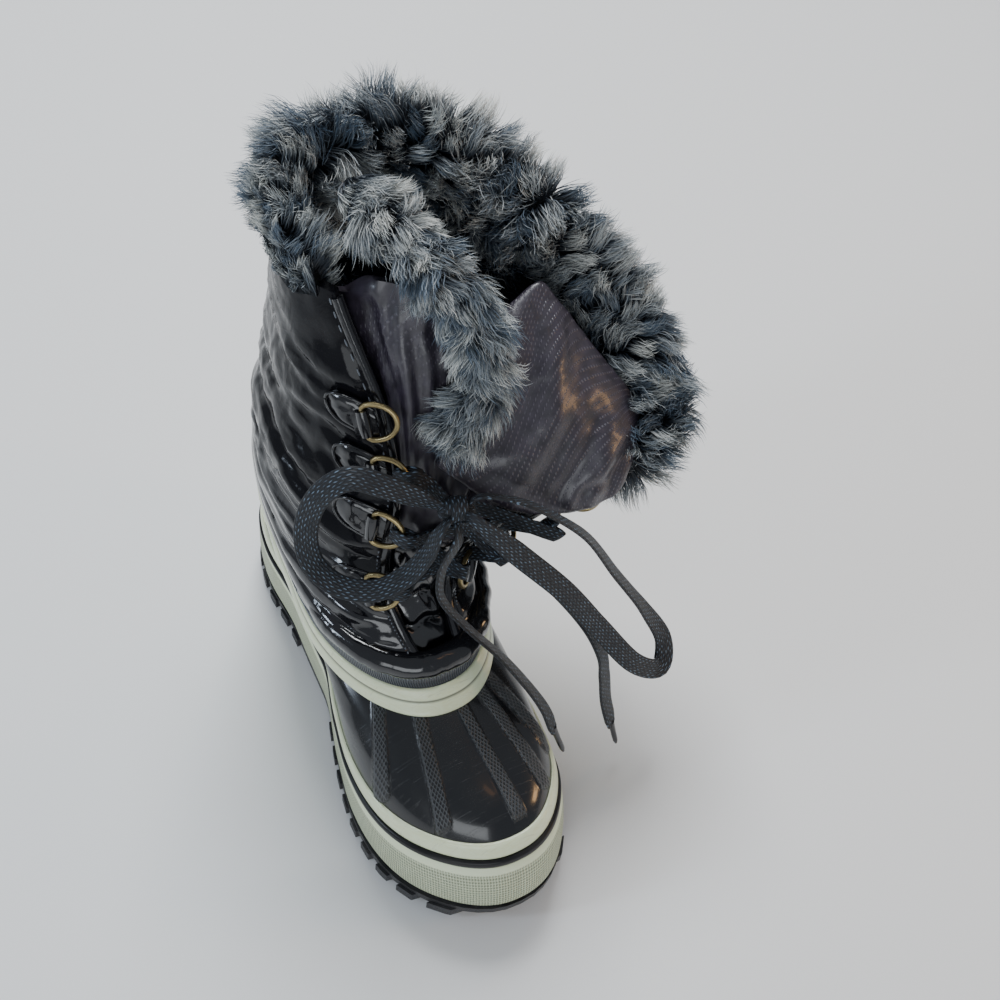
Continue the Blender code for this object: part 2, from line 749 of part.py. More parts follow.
def make_ring(boot, name, level, side):
    bar, up, over, _ = ring_frame(level, side)
    half = RING_BAR / 2
    loop = [(-half + 1.5, 0.0), (half - 1.5, 0.0)]
    for turn in np.linspace(0.0, math.pi, 7):
        loop.append((half * math.cos(turn), 2.2 + (RING_DEPTH - 2.2) * math.sin(turn) ** 0.8))
    wire = bpy.data.curves.new(name, "CURVE")
    wire.dimensions = "3D"
    wire.bevel_depth = RING_WIRE * MM
    wire.bevel_resolution = 2
    spline = wire.splines.new("POLY")
    spline.points.add(len(loop) - 1)
    for point, (along, across) in zip(spline.points, loop):
        point.co = (*(Vector(bar + up * along + over * across) * MM), 1.0)
    spline.use_cyclic_u = True
    return add_object(name, wire, "aged_brass", boot)


# ---- lace ----


def smooth_route(points, spacing):
    """Evenly spaced points on a smooth curve through the route's points."""
    points = np.asarray(points, float)
    ends = np.vstack([2 * points[0] - points[1], points, 2 * points[-1] - points[-2]])
    slope = (ends[2:] - ends[:-2]) / 2
    dense = []
    for k in range(len(points) - 1):
        for t in np.linspace(0.0, 1.0, 24, endpoint=False):
            h = (2 * t**3 - 3 * t**2 + 1, t**3 - 2 * t**2 + t, 3 * t**2 - 2 * t**3, t**3 - t**2)
            dense.append(h[0] * points[k] + h[1] * slope[k] + h[2] * points[k + 1] + h[3] * slope[k + 1])
    dense = np.array(dense + [points[-1]])
    run = np.concatenate([[0.0], np.cumsum(np.linalg.norm(np.diff(dense, axis=0), axis=1))])
    count = max(2, int(round(run[-1] / spacing)) + 1)
    at = np.linspace(0.0, run[-1], count)
    return np.column_stack([np.interp(at, run, dense[:, k]) for k in range(3)])


def from_knot(towards, clear):
    knot = np.array(KNOT)
    way = np.array(towards) - knot
    return knot + way / np.linalg.norm(way) * (KNOT_RADIUS + clear)


def cord_line(name):
    looped = "loop" in name
    clear = LOOP_CLEAR if looped else END_CLEAR
    route = [from_knot(LACE_ROUTES[name][0], clear), *LACE_ROUTES[name]]
    if looped:
        route.append(from_knot(LACE_ROUTES[name][-1], clear))
    return smooth_route(route, CORD_SPACING * LACE_RADIUS)


def make_cord(boot, name):
    cord = bpy.data.curves.new(name, "CURVE")
    cord.dimensions = "3D"
    cord.bevel_depth = LACE_RADIUS * MM
    cord.bevel_resolution = 2
    cord.use_fill_caps = True
    spline = cord.splines.new("POLY")
    line = cord_line(name)
    spline.points.add(len(line) - 1)
    for point, place in zip(spline.points, line):
        point.co = (*(Vector(place) * MM), 1.0)
    return add_object(name, cord, "black_cord", boot)


def make_aglet(boot, name, cord_name):
    line = cord_line(cord_name)
    way = line[-1] - line[-2]
    way /= np.linalg.norm(way)
    mesh = bpy.data.meshes.new(name)
    made = bmesh.new()
    length = AGLET_LENGTH
    bmesh.ops.create_cone(
        made,
        cap_ends=True,
        segments=10,
        radius1=AGLET_RADIUS * MM,
        radius2=AGLET_RADIUS * 0.7 * MM,
        depth=length * MM,
    )
    made.to_mesh(mesh)
    made.free()
    mesh.shade_smooth()
    aglet = add_object(name, mesh, "black_patent", boot)
    aglet.rotation_euler = Vector(way).to_track_quat("Z", "Y").to_euler()
    aglet.location = Vector(line[-1] + way * (length / 2 + GAP)) * MM
    return aglet


def make_knot(boot):
    mesh = bpy.data.meshes.new("lace_knot")
    made = bmesh.new()
    bmesh.ops.create_icosphere(made, subdivisions=2, radius=KNOT_RADIUS * MM)
    made.to_mesh(mesh)
    made.free()
    mesh.shade_smooth()
    knot = add_object("lace_knot", mesh, "black_cord", boot)
    knot.location = Vector(KNOT) * MM
    return knot


def ribbon_mesh(route, first_broad, last_broad, faces, lift):
    """A flat lace along a smooth route over the faces, its broad way turning from the first to the last."""
    points = smooth_route(route, LACE_STEP)
    points[2:-2] = [laid_over(point, faces, lift) for point in points[2:-2]]
    run = np.gradient(points, axis=0)
    run /= np.linalg.norm(run, axis=1)[:, None]
    sections = []
    for share, point, along in zip(np.linspace(0.0, 1.0, len(points)), points, run):
        broad = first_broad * (1 - share) + last_broad * share
        broad = broad - along * float(np.dot(broad, along))
        broad /= np.linalg.norm(broad)
        thin = np.cross(along, broad)
        corners = ((1.0, 1.0), (-1.0, 1.0), (-1.0, -1.0), (1.0, -1.0))
        sections.append([point + broad * LACE_HALF_WIDTH * a + thin * LACE_HALF_THICK * b for a, b in corners])
    return closed_loft("lace_stretch", sections)


def laid_over(point, faces, lift):
    """The point, moved out over the front of the boot until it stands clear of the faces beneath."""
    out = Vector(LACE_OUT).normalized()
    start = Vector(point) * MM + out * 0.06
    place = faces.ray_cast(start, -out, 0.12)[0]
    if place is None:
        return point
    height = (Vector(point) * MM - place).dot(out) / MM
    return np.array(point) + np.array(out) * max(0.0, lift - height)


def over_ring(side, number, layer):
    """Where the lace lies on a ring: over its hole, over its round wire and just beyond, and its broad way."""
    bar, up, over, out = ring_frame(RING_LEVELS[side][number], side)
    clear = out * (RING_WIRE + LACE_HALF_THICK + 0.6 + 0.6 * layer) + up * 0.7 * (layer % 2)
    return [bar + over * reach + clear for reach in (0.55 * RING_DEPTH, RING_DEPTH, RING_DEPTH + 5.0)], up


def crossing(start, finish, faces, lift):
    """A stretch of lace from one ring to another, lying over the tongue between them."""
    (first, first_up), (second, second_up) = start, finish
    first[-1], second[-1] = (laid_over(points[-1], faces, lift) for points in (first, second))
    leave, arrive = first[-1], second[-1]
    between = [laid_over(leave * (1 - t) + arrive * t, faces, lift) for t in (0.3, 0.7)]
    return ribbon_mesh(first + between + second[::-1], first_up, second_up, faces, lift)


def make_crossings(boot, helpers, faces):
    ribbons = [crossing(over_ring("medial", 0, 0), over_ring("lateral", 0, 0), faces, 4.0)]
    for low in range(2):
        for side, other, lift in (("medial", "lateral", 4.0), ("lateral", "medial", 4.8)):
            ribbons.append(crossing(over_ring(side, low, 1), over_ring(other, low + 1, 0), faces, lift))
    for side, near in LACE_TO_KNOT.items():
        points, up = over_ring(side, 2, 1)
        ribbons.append(ribbon_mesh(points + [laid_over(near, faces, 6.0), from_knot(near, LOOP_CLEAR)], up, up, faces, 4.0))
    lace = add_object("lace_crossings", ribbons[0], None, boot)
    for number, ribbon in enumerate(ribbons[1:]):
        boolean(lace, helper(f"lace_stretch_{number}", ribbon, helpers), "UNION")
    made = baked(lace, boot)
    made.data.materials.clear()
    made.data.materials.append(material_named("black_cord"))
    return made


# ---- fur ----


def unit(vectors):
    return vectors / np.linalg.norm(vectors, axis=1)[:, None]


def make_fur_cuff(boot, upper):
    """The pile stands on a band sewn over the collar's edge."""
    faces = faces_of([upper])
    last = len(UPPER_RINGS) - 1
    edge = np.array(upper_row(last))[2:]
    under = [np.array(upper_row(last - share, 2.4))[2:] for share in (0.25, 0.5)]
    turns = np.linspace(*facing_edges(last), RING_COUNT + 1)[2:]
    reach_share = 1.0 - 0.45 * ease(180.0, 235.0, turns)
    rise_way = unit(edge - np.array(upper_row(last - 0.1))[2:])
    face_way = unit(np.array(upper_row(last, 1.0))[2:] - edge)
    sections = []
    for k, point in enumerate(edge):
        end = min(k, len(edge) - 1 - k)
        full = 0.72 + 0.28 * float(ease(0.0, 6.0, end))
        above = point + rise_way[k] * 0.9
        contact = [above - face_way[k] * (UPPER_WALL + 0.7), above + face_way[k] * 2.2]
        contact += [level[k] for level in under]
        contact = [clear_of(place, faces, gap) for place, gap in zip(contact, (0.8, 1.8, 1.8, 1.8))]
        pile = []
        for reach, rise in CUFF_SECTION:
            reach = reach * reach_share[k] if reach > 0 else reach
            place = point + full * (face_way[k] * reach + rise_way[k] * rise)
            pile.append(clear_of(place, faces, 1.5))
        sections.append(contact + pile)
    return add_object("fur_cuff", closed_loft("fur_cuff", sections), "charcoal_fur", boot)


def tube_sections(line, radius_out, radius_up, sides=10):
    """Rounded sections square to a line of points."""
    line = np.asarray(line, float)
    run = np.gradient(line, axis=0)
    run /= np.linalg.norm(run, axis=1)[:, None]
    sections = []
    for point, along in zip(line, run):
        across = np.cross(along, (0.0, 1.0, 0.0))
        across /= np.linalg.norm(across)
        forward = np.cross(along, across)
        turn = np.arange(sides) * 2 * math.pi / sides
        sections.append(
            [point + radius_up * math.cos(t) * across + radius_out * math.sin(t) * forward for t in turn]
        )
    return sections


def make_tongue_fur(boot):
    route = np.array(TONGUE_FUR_ROUTE)
    steps = np.linspace(0, len(route) - 1, 17)
    line = np.column_stack([curve_through(range(len(route)), route[:, k], steps) for k in range(3)])
    mesh = closed_loft("tongue_fur", tube_sections(line, 9.0, 10.0, 8))
    return add_object("tongue_fur", mesh, "charcoal_fur", boot)


def main():
    clear_scene()
    boot = collection_named("snow_boot")
    helpers = collection_named("cutters")
    make_outsole(boot, helpers)
    make_insole(boot)
    make_shell(boot)
    make_rand(boot)
    make_throat_trim(boot)
    upper = make_upper(boot)
    tongue = make_tongue(boot)
    make_fur_cuff(boot, upper)
    make_tongue_fur(boot)
    tabs = []
    for side in ("medial", "lateral"):
        for number, level in enumerate(RING_LEVELS[side], start=1):
            tabs.append(make_tab(boot, f"tab_{side}_{number}", level, side))
            make_ring(boot, f"ring_{side}_{number}", level, side)
    make_crossings(boot, helpers, faces_of([upper, tongue, *tabs]))
    make_knot(boot)
    for name in LACE_ROUTES:
        make_cord(boot, name)
    make_aglet(boot, "aglet_front", "lace_end_front")
    make_aglet(boot, "aglet_side", "lace_end_side")


main()
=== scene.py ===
"""Looks of a left snow boot: rubber shell, lugged sole, quilted patent upper, satin tongue, fur and a bow.

Metres, +Z up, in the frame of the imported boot. The toe points along -Y and the lateral side is +X.
Shapes are worked out in millimetres and turned into metres as each mesh is made.
"""

import math

import bpy
import numpy as np
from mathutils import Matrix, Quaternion, Vector
from mathutils.bvhtree import BVHTree
from mathutils.kdtree import KDTree


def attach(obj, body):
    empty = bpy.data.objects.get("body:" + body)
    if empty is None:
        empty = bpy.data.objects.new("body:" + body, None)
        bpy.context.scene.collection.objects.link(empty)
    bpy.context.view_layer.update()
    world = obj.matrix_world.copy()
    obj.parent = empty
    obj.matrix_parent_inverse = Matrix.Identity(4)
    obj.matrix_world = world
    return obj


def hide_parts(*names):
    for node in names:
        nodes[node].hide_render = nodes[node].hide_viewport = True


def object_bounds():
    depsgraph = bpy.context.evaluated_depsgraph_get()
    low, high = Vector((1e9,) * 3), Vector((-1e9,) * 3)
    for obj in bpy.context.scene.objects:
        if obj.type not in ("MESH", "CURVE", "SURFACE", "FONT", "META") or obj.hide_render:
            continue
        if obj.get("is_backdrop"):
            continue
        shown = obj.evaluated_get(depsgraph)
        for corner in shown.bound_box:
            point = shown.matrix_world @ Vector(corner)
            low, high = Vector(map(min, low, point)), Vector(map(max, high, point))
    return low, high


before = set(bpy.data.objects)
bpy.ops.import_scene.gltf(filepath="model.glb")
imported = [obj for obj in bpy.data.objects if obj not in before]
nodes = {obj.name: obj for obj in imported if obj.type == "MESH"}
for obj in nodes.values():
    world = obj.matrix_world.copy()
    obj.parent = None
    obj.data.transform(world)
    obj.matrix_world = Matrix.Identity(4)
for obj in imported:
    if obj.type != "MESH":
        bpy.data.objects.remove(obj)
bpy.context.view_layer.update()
MM = 0.001

# ---- Camera, floor and light ----
# The boot is looked down on from its toe and its inner side, from a little above arm's length.
# It stands on a pale floor under a broad soft lamp, with small lamps that show in the patent and the rubber.

AIM = Vector((0.052, -0.080, 0.156))
CAMERA_AZIMUTH = math.radians(-34.95)
CAMERA_ELEVATION = math.radians(55.9)
CAMERA_ROLL = math.radians(8.55)
CAMERA_DISTANCE = 0.709



def in_scene(name, data, place=(0, 0, 0), turn=None):
    """An object of the scene, at a place and turned."""
    made = bpy.data.objects.new(name, data)
    made.location = place
    if turn is not None:
        made.rotation_mode = "QUATERNION"
        made.rotation_quaternion = turn
    bpy.context.scene.collection.objects.link(made)
    return made


flat_back = Vector((math.sin(CAMERA_AZIMUTH), -math.cos(CAMERA_AZIMUTH), 0)) * math.cos(CAMERA_ELEVATION)
back = flat_back + Vector((0, 0, math.sin(CAMERA_ELEVATION)))
look = (-back).to_track_quat("-Z", "Y") @ Quaternion((0, 0, 1), CAMERA_ROLL)
camera = in_scene("camera", bpy.data.cameras.new("camera"), AIM + back * CAMERA_DISTANCE, look)
camera.data.lens = 54.0
camera.data.clip_start = 0.01
bpy.context.scene.camera = camera


def light_panel(name, place, width, height, watts, colour):
    lamp = bpy.data.lights.new(name, "AREA")
    lamp.shape = "RECTANGLE"
    lamp.size = width
    lamp.size_y = height
    lamp.energy = watts
    lamp.color = colour
    in_scene(name, lamp, place, (AIM - Vector(place)).to_track_quat("-Z", "Y"))


light_panel("ceiling_light", (0.35, 0.75, 1.55), 0.6, 0.6, 30.0, (0.94, 0.97, 1.0))
light_panel("front_fill", (-1.0, -1.6, 0.9), 1.3, 0.9, 12.0, (0.93, 0.97, 1.0))
light_panel("window_light", (-1.1, 0.15, 0.8), 0.14, 0.4, 4.0, (0.72, 0.84, 1.0))
light_panel("warm_lamp", (0.75, 0.35, 1.0), 0.10, 0.10, 0.5, (1.0, 0.58, 0.26))
light_panel("bronze_lamp", (0.30, -0.50, 1.3), 0.08, 0.22, 0.1, (1.0, 0.50, 0.20))
light_panel("low_warm_lamp", (0.9, -0.6, 0.4), 0.2, 0.2, 1.5, (1.0, 0.60, 0.28))

world = bpy.data.worlds.new("room")
world.use_nodes = True
background = world.node_tree.nodes["Background"].inputs
background["Color"].default_value = (0.80, 0.87, 0.96, 1.0)
background["Strength"].default_value = 0.40
bpy.context.scene.world = world


def add(tree, kind, inputs=None, **settings):
    """A shader node. inputs gives each socket's value, or the socket that feeds it."""
    made = tree.nodes.new("ShaderNode" + kind)
    for key, value in settings.items():
        setattr(made, key, value)
    for key, value in (inputs or {}).items():
        if isinstance(value, bpy.types.NodeSocket):
            tree.links.new(value, made.inputs[key])
        else:
            made.inputs[key].default_value = value
    return made


def maths(operation, first, second=0.5):
    tree = (first if isinstance(first, bpy.types.NodeSocket) else second).id_data
    return add(tree, "Math", {0: first, 1: second}, operation=operation).outputs[0]


def times(first, second):
    return maths("MULTIPLY", first, second)


def plus(first, second):
    return maths("ADD", first, second)


def between(value, low, high, to_low=0.0, to_high=1.0):
    """The value, spread from low..high to to_low..to_high and clamped."""
    sockets = {"Value": value, "From Min": low, "From Max": high, "To Min": to_low, "To Max": to_high}
    return add(value.id_data, "MapRange", sockets).outputs["Result"]


def mixed(share, low, high):
    """A colour between two colours or colour sockets."""
    return add(share.id_data, "Mix", {0: share, 6: low, 7: high}, data_type="RGBA").outputs[2]


def noise(tree, scale, detail=3.0, distortion=0.0, **inputs):
    sockets = {"Scale": scale, "Detail": detail, "Distortion": distortion, **inputs}
    return add(tree, "TexNoise", sockets).outputs["Fac"]


def feed(shader, **sources):
    """Links sockets to the shader's inputs, named with underlines for spaces."""
    for key, value in sources.items():
        shader.id_data.links.new(value, shader.inputs[key.replace("_", " ")])


def new_material(name, **sockets):
    """A material with its node tree and its Principled shader, whose plain sockets are set by name."""
    made = bpy.data.materials.new(name)
    made.use_nodes = True
    shader = made.node_tree.nodes["Principled BSDF"]
    for key, value in sockets.items():
        shader.inputs[key.replace("_", " ")].default_value = value
    return made, made.node_tree, shader


def bumped(shader, height, strength, distance):
    """Feeds the shader's normal from a height in millimetres times distance."""
    sockets = {"Height": height, "Strength": strength, "Distance": distance * MM}
    feed(shader, Normal=add(shader.id_data, "Bump", sockets).outputs["Normal"])


floor_material, tree, shader = new_material("pale_floor", Roughness=0.55)
cloud = between(noise(tree, 3.0), 0.3, 0.7)
feed(shader, Base_Color=mixed(cloud, (0.80, 0.80, 0.79, 1), (0.84, 0.84, 0.835, 1)))
FLOOR_HALF = 4.0
floor_mesh = bpy.data.meshes.new("floor")
corners = [(x * FLOOR_HALF, y * FLOOR_HALF, 0.0) for x, y in ((-1, -1), (1, -1), (1, 1), (-1, 1))]
floor_mesh.from_pydata(corners, [], [(0, 1, 2, 3)])
floor_mesh.materials.append(floor_material)
in_scene("floor", floor_mesh)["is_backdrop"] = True

# ---- Outsole ----
# A black rubber sole moulded with chevron lugs that break its edge. It has been walked on,
# so dust lies on it in patches.



def new_group(name, *outputs):
    """A shader group with a Scale, its output node, its Scale socket and the spot on the piece."""
    made = bpy.data.node_groups.new(name, "ShaderNodeTree")
    made.interface.new_socket("Scale", in_out="INPUT", socket_type="NodeSocketFloat")
    for output in outputs:
        made.interface.new_socket(output, in_out="OUTPUT", socket_type="NodeSocketFloat")
    scale = made.nodes.new("NodeGroupInput").outputs["Scale"]
    return made, made.nodes.new("NodeGroupOutput"), scale, add(made, "TexCoord").outputs["Object"]


def use_group(tree, group, scale):
    """The group's outputs at a scale, in a material's tree."""
    used = tree.nodes.new("ShaderNodeGroup")
    used.node_tree = group
    used.inputs["Scale"].default_value = scale
    return used.outputs


wear, leave, scale, spot = new_group("wear", "Dust", "Scratches")
patches = noise(wear, times(scale, 22.0), 4.0, Vector=spot)
specks = noise(wear, times(scale, 1400.0), 2.0, Vector=spot)
speck_mask = between(specks, 0.60, 0.74)
patch_mask = between(patches, 0.42, 0.68)
feed(leave, Dust=plus(times(speck_mask, patch_mask), times(patch_mask, 0.35)))
lines = []
for angle, stretch in ((0.4, 30.0), (1.9, 24.0), (2.7, 36.0)):
    turned = add(wear, "Mapping", {0: spot, "Rotation": (0.3, 0.2, angle), "Scale": (stretch, 900.0, 60.0)})
    streak = noise(wear, 1.0, 1.0, Vector=turned.outputs["Vector"])
    middle = maths("ABSOLUTE", maths("SUBTRACT", streak, 0.71))
    lines.append(between(middle, 0.0, 0.016, 1.0, 0.0))
feed(leave, Scratches=maths("MAXIMUM", maths("MAXIMUM", lines[0], lines[1]), lines[2]))


def kept(tree, name):
    """The value kept at each point under a name."""
    return add(tree, "Attribute", attribute_name=name).outputs


def parts_of(tree, name):
    """The three numbers kept at each point under a name."""
    return add(tree, "SeparateXYZ", {0: kept(tree, name)["Vector"]}).outputs


DUST = (0.20, 0.19, 0.175, 1)


def dusted(shader, dust, share, colour, clean, dull):
    """Colours the shader with some dust over it, which dulls its gloss from clean to dull."""
    feed(shader, Base_Color=mixed(times(dust, share), colour, DUST))
    feed(shader, Roughness=between(dust, 0.0, 1.0, clean, dull))


sole_rubber, tree, shader = new_material("sole_rubber")
dust, scratches = use_group(tree, wear, 1.0)
dusted(shader, dust, 0.55, (0.012, 0.012, 0.014, 1), 0.42, 0.75)
bumped(shader, noise(tree, 900.0), 0.35, 0.5)
for slot in nodes["outsole"].material_slots:
    slot.material = sole_rubber

# ---- Insole ----
# A felt footbed, cut to the foot's outline and laid loose on the outsole inside the shell.

felt, tree, shader = new_material("felt", Roughness=0.95, Sheen_Weight=0.3)
fibres = noise(tree, 700.0, 6.0, 1.5)
fibre_tone = mixed(fibres, (0.05, 0.052, 0.058, 1), (0.17, 0.17, 0.18, 1))
feed(shader, Base_Color=fibre_tone)
bumped(shader, fibres, 0.8, 1.0)
for slot in nodes["insole"].material_slots:
    slot.material = felt

# ---- Rubber shell ----
# The foot is one moulding of glossy black rubber, 2.6 mm thick, open underneath and at the throat.
# Knurled ribs run over the toe from the throat to the band, and walking has left fine scratches and dust.

HEEL_BACK = 51.0
TOE_TIP = HEEL_BACK - 272.0
SPRING_START = -142.0
SPRING_HEIGHT = 9.0
# How far back and up the toe cap and the vamp stand from their ring tables.
VAMP_BACK = 4.0
VAMP_RISE = 6.0
TOE_FULLNESS = 0.88
SOLE_PLAN = {
    "along": (0.0, 0.05, 0.15, 0.30, 0.45, 0.60, 0.70, 0.80, 0.90, 0.96, 1.0),
    "centre_x": (0.0, 0.0, 0.5, 1.5, 1.0, -1.0, -2.0, -1.5, 1.0, 2.5, 3.5),
    "medial": (1.08, 1.04, 0.92, 0.74, 0.72, 0.89, 1.03, 1.15, 1.23, 1.20, 1.16),
    "lateral": (1.20, 1.13, 0.98, 0.82, 0.86, 0.97, 1.06, 1.16, 1.23, 1.20, 1.16)
}
# Ring tables: a row for each level, bottom to top, with the columns named in RING_COLUMNS.
RING_COLUMNS = ("y_front", "z_front", "y_back", "z_back", "half_width", "sole_share", "side_dip", "lean")
SHELL_RINGS = {
    "feather": (-216.0, 11.0, 46.5, 11.0, 48.4, 1.00, 0.0, 0.0),
    "rand": (-215.0, 30.0, 48.0, 30.0, 48.8, 1.00, 0.0, 0.0),
    "band": (-211.0, 46.0, 47.5, 45.0, 48.4, 0.98, 0.0, 0.0),
    "toe_low": (-203.0, 58.0, 46.5, 58.0, 47.4, 0.92, 0.0, 0.0),
    "toe_mid": (-189.0, 67.5, 45.0, 70.0, 46.2, 0.82, 0.0, 0.0),
    "toe_high": (-167.0, 76.0, 43.0, 83.0, 44.6, 0.50, -1.0, 0.0),
    "throat": (-141.0, 83.0, 41.5, 97.0, 44.0, 0.30, -4.0, 0.0)
}
SHELL_WALL = 2.6
# The toe's ribs: x and y at the throat, then x and y at the band.
TOE_RIBS = (
    (-29.4, -120.7, -43.5, -155.0), (-13.5, -128.0, -24.9, -182.5), (5.0, -134.0, 8.9, -193.0),
    (17.5, -134.0, 28.0, -184.0), (24.5, -131.0, 39.3, -167.0)
)
RIB_HALF_WIDTH = 3.4
RIB_HEIGHT = 0.8


def curve_through(knots, values, at):
    """Smooth interpolation of a short table, with no overshoot between rows that rise or fall together."""
    knots = np.asarray(knots, float)
    values = np.asarray(values, float)
    slopes = np.diff(values) / np.diff(knots)
    tangents = np.empty(len(values))
    tangents[0] = slopes[0]
    tangents[-1] = slopes[-1]
    same_way = slopes[:-1] * slopes[1:] > 0
    means = 2 * slopes[:-1] * slopes[1:] / np.where(same_way, slopes[:-1] + slopes[1:], 1.0)
    tangents[1:-1] = np.where(same_way, means, 0.0)
    at = np.clip(np.asarray(at, float), knots[0], knots[-1])
    k = np.clip(np.searchsorted(knots, at, side="right") - 1, 0, len(knots) - 2)
    step = knots[k + 1] - knots[k]
    t = (at - knots[k]) / step
    return (
        (2 * t**3 - 3 * t**2 + 1) * values[k]
        + (t**3 - 2 * t**2 + t) * step * tangents[k]
        + (3 * t**2 - 2 * t**3) * values[k + 1]
        + (t**3 - t**2) * step * tangents[k + 1]
    )


def ease(low, high, value):
    t = np.clip((np.asarray(value, float) - low) / (high - low), 0.0, 1.0)
    return t * t * (3 - 2 * t)


def spring(y):
    """How far the toe is lifted off the floor."""
    t = np.clip((SPRING_START - y) / (SPRING_START - TOE_TIP), 0.0, 1.1)
    return SPRING_HEIGHT * t**1.7


def ring_points(row, angles, outset=0.0):
    """Points of one ring. Angle 0 is the toe, a quarter turn is lateral, half a turn the heel."""
    ring = dict(zip(RING_COLUMNS, row, strict=True))
    along = (1 + np.cos(angles)) / 2
    side = np.sin(angles)
    plan = {name: curve_through(SOLE_PLAN["along"], SOLE_PLAN[name], along) for name in SOLE_PLAN}
    shape = np.where(side >= 0, plan["lateral"], plan["medial"])
    shape = 1 + (shape - 1) * ring["sole_share"]
    broad = np.sign(side) * np.abs(side) ** TOE_FULLNESS
    x = ring["lean"] + plan["centre_x"] * ring["sole_share"]
    x = x + (ring["half_width"] * shape + outset) * broad
    y = (ring["y_back"] + outset) + (ring["y_front"] - ring["y_back"] - 2 * outset) * along
    z = ring["z_back"] + (ring["z_front"] - ring["z_back"]) * along + ring["side_dip"] * side**2
    z = z + spring(y) * ease(110.0, 60.0, z)
    raised = ease(22.0, 60.0, z) * (1 - ease(105.0, 150.0, z)) * ease(-40.0, -120.0, y)
    return np.column_stack([x, y + VAMP_BACK * raised, z + VAMP_RISE * raised])


def row_between(table, level):
    """The ring row at a level between the table's rows, where level 0 is the first row."""
    rows = np.array(list(table.values()), float)
    return [float(curve_through(range(len(rows)), rows[:, k], level)) for k in range(rows.shape[1])]


def rings(table, levels, angles, outset=0.0):
    outsets = np.broadcast_to(outset, len(levels))
    return np.array([ring_points(row_between(table, a), angles, b) for a, b in zip(levels, outsets)])


def unit(vectors):
    return vectors / np.maximum(np.linalg.norm(vectors, axis=-1, keepdims=True), 1e-9)


def outward(grid, closed):
    """Unit normals of a grid whose rows run round the boot, toe to lateral side, and climb it."""
    if closed:
        across = np.roll(grid, -1, axis=1) - np.roll(grid, 1, axis=1)
    else:
        across = np.gradient(grid, axis=1)
    return unit(np.cross(across, np.gradient(grid, axis=0)))


def piece(name, points, faces, material, slot, values=None, sharp=70.0):
    """A piece of the boot from points in millimetres. values are numbers or vectors kept for each point."""
    mesh = bpy.data.meshes.new(name)
    mesh.from_pydata((np.asarray(points, float) * MM).tolist(), [], [list(face) for face in faces])
    for key, value in (values or {}).items():
        value = np.asarray(value, np.float32)
        kind, field = ("FLOAT_VECTOR", "vector") if value.ndim == 2 else ("FLOAT", "value")
        mesh.attributes.new(key, kind, "POINT").data.foreach_set(field, value.ravel())
    mesh.materials.append(material)
    mesh.shade_smooth()
    mesh.set_sharp_from_angle(angle=math.radians(sharp))
    made = in_scene(name, mesh)
    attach(made, "root")
    return made


def skin_of(ids, onward):
    """Quads between rows of point numbers, whose next numbers along each row are onward."""
    return np.stack([ids[:-1], onward[:-1], onward[1:], ids[1:]], axis=-1).reshape(-1, 4)


def slab(front, back, closed):
    """Points and faces of a closed body between two grids of one size; closed rows run right round."""
    rows, columns = front.shape[:2]
    ids = np.arange(rows * columns).reshape(rows, columns)
    right = np.roll(ids, -1, axis=1) if closed else ids[:, 1:]
    left = ids if closed else ids[:, :-1]
    skin = skin_of(left, right)
    if closed:
        loops = [ids[0], ids[-1][::-1]]
    else:
        loops = [np.concatenate([ids[0], ids[1:, -1], ids[-1, -2::-1], ids[-2:0:-1, 0]])]
    count = rows * columns
    rim = [np.stack([np.roll(a, -1), a, a + count, np.roll(a, -1) + count], axis=-1) for a in loops]
    faces = np.concatenate([skin, skin[:, ::-1] + count, *rim])
    return np.concatenate([front.reshape(-1, 3), back.reshape(-1, 3)]), faces


def lay_of(*parts):
    """Numbers kept for each point, from arrays or numbers spread to one size."""
    return np.stack(np.broadcast_arrays(*parts), axis=-1)


def twice(values):
    """Values of a slab's front face, repeated for its back."""
    flat = values.reshape(-1, 3) if values.ndim == 3 else values.ravel()
    return np.concatenate([flat, flat])


def ripples(points, wavelength, seed, stretch=(1.0, 1.0, 1.0)):
    """A smooth uneven field from -1 to 1 over points in millimetres, from a few crossed waves."""
    draw = np.random.default_rng(seed)
    scaled = points * np.asarray(stretch) / wavelength
    ways = unit(draw.normal(size=(9, 3)))
    bend = np.sin(2 * math.pi * scaled @ ways[:3].T * 0.45 + draw.uniform(0, 6, 3)) * 0.28
    total = 0
    for way in ways:
        pitch = draw.uniform(0.75, 1.35)
        total = total + np.sin(2 * math.pi * ((scaled + bend) @ way) * pitch + draw.uniform(0, 6))
    return total / 4.2


shell_turns = np.linspace(0.0, 2 * math.pi, 330, endpoint=False)
shell_turns = shell_turns - 0.45 * np.sin(shell_turns)
shell_levels = np.concatenate([np.linspace(0.0, 2.2, 10, endpoint=False), np.linspace(2.2, 6.0, 46)])
shell_face = rings(SHELL_RINGS, shell_levels, shell_turns)
shell_out = outward(shell_face, True)
rib = np.zeros(shell_face.shape[:2])
rib_lay = np.zeros(shell_face.shape)
for x0, y0, x1, y1 in TOE_RIBS:
    start, run = np.array((x0, y0)), np.array((x1 - x0, y1 - y0))
    length = np.linalg.norm(run)
    run = run / length
    off = shell_face[..., :2] - start
    along = off @ run
    across = off @ np.array((-run[1], run[0]))
    width = RIB_HALF_WIDTH * (0.85 + 0.25 * np.clip(along / length, 0, 1))
    near = (1 - ease(width - 0.5, width + 0.4, np.abs(across))) * (shell_face[..., 1] < -110)
    near = near * ease(-7.0, -3.0, along) * (1 - ease(length + 2.0, length + 5.0, along))
    rib = np.maximum(rib, near)
    closest = near > 0.02
    rib_lay[closest] = np.stack([along, across, near], axis=-1)[closest]
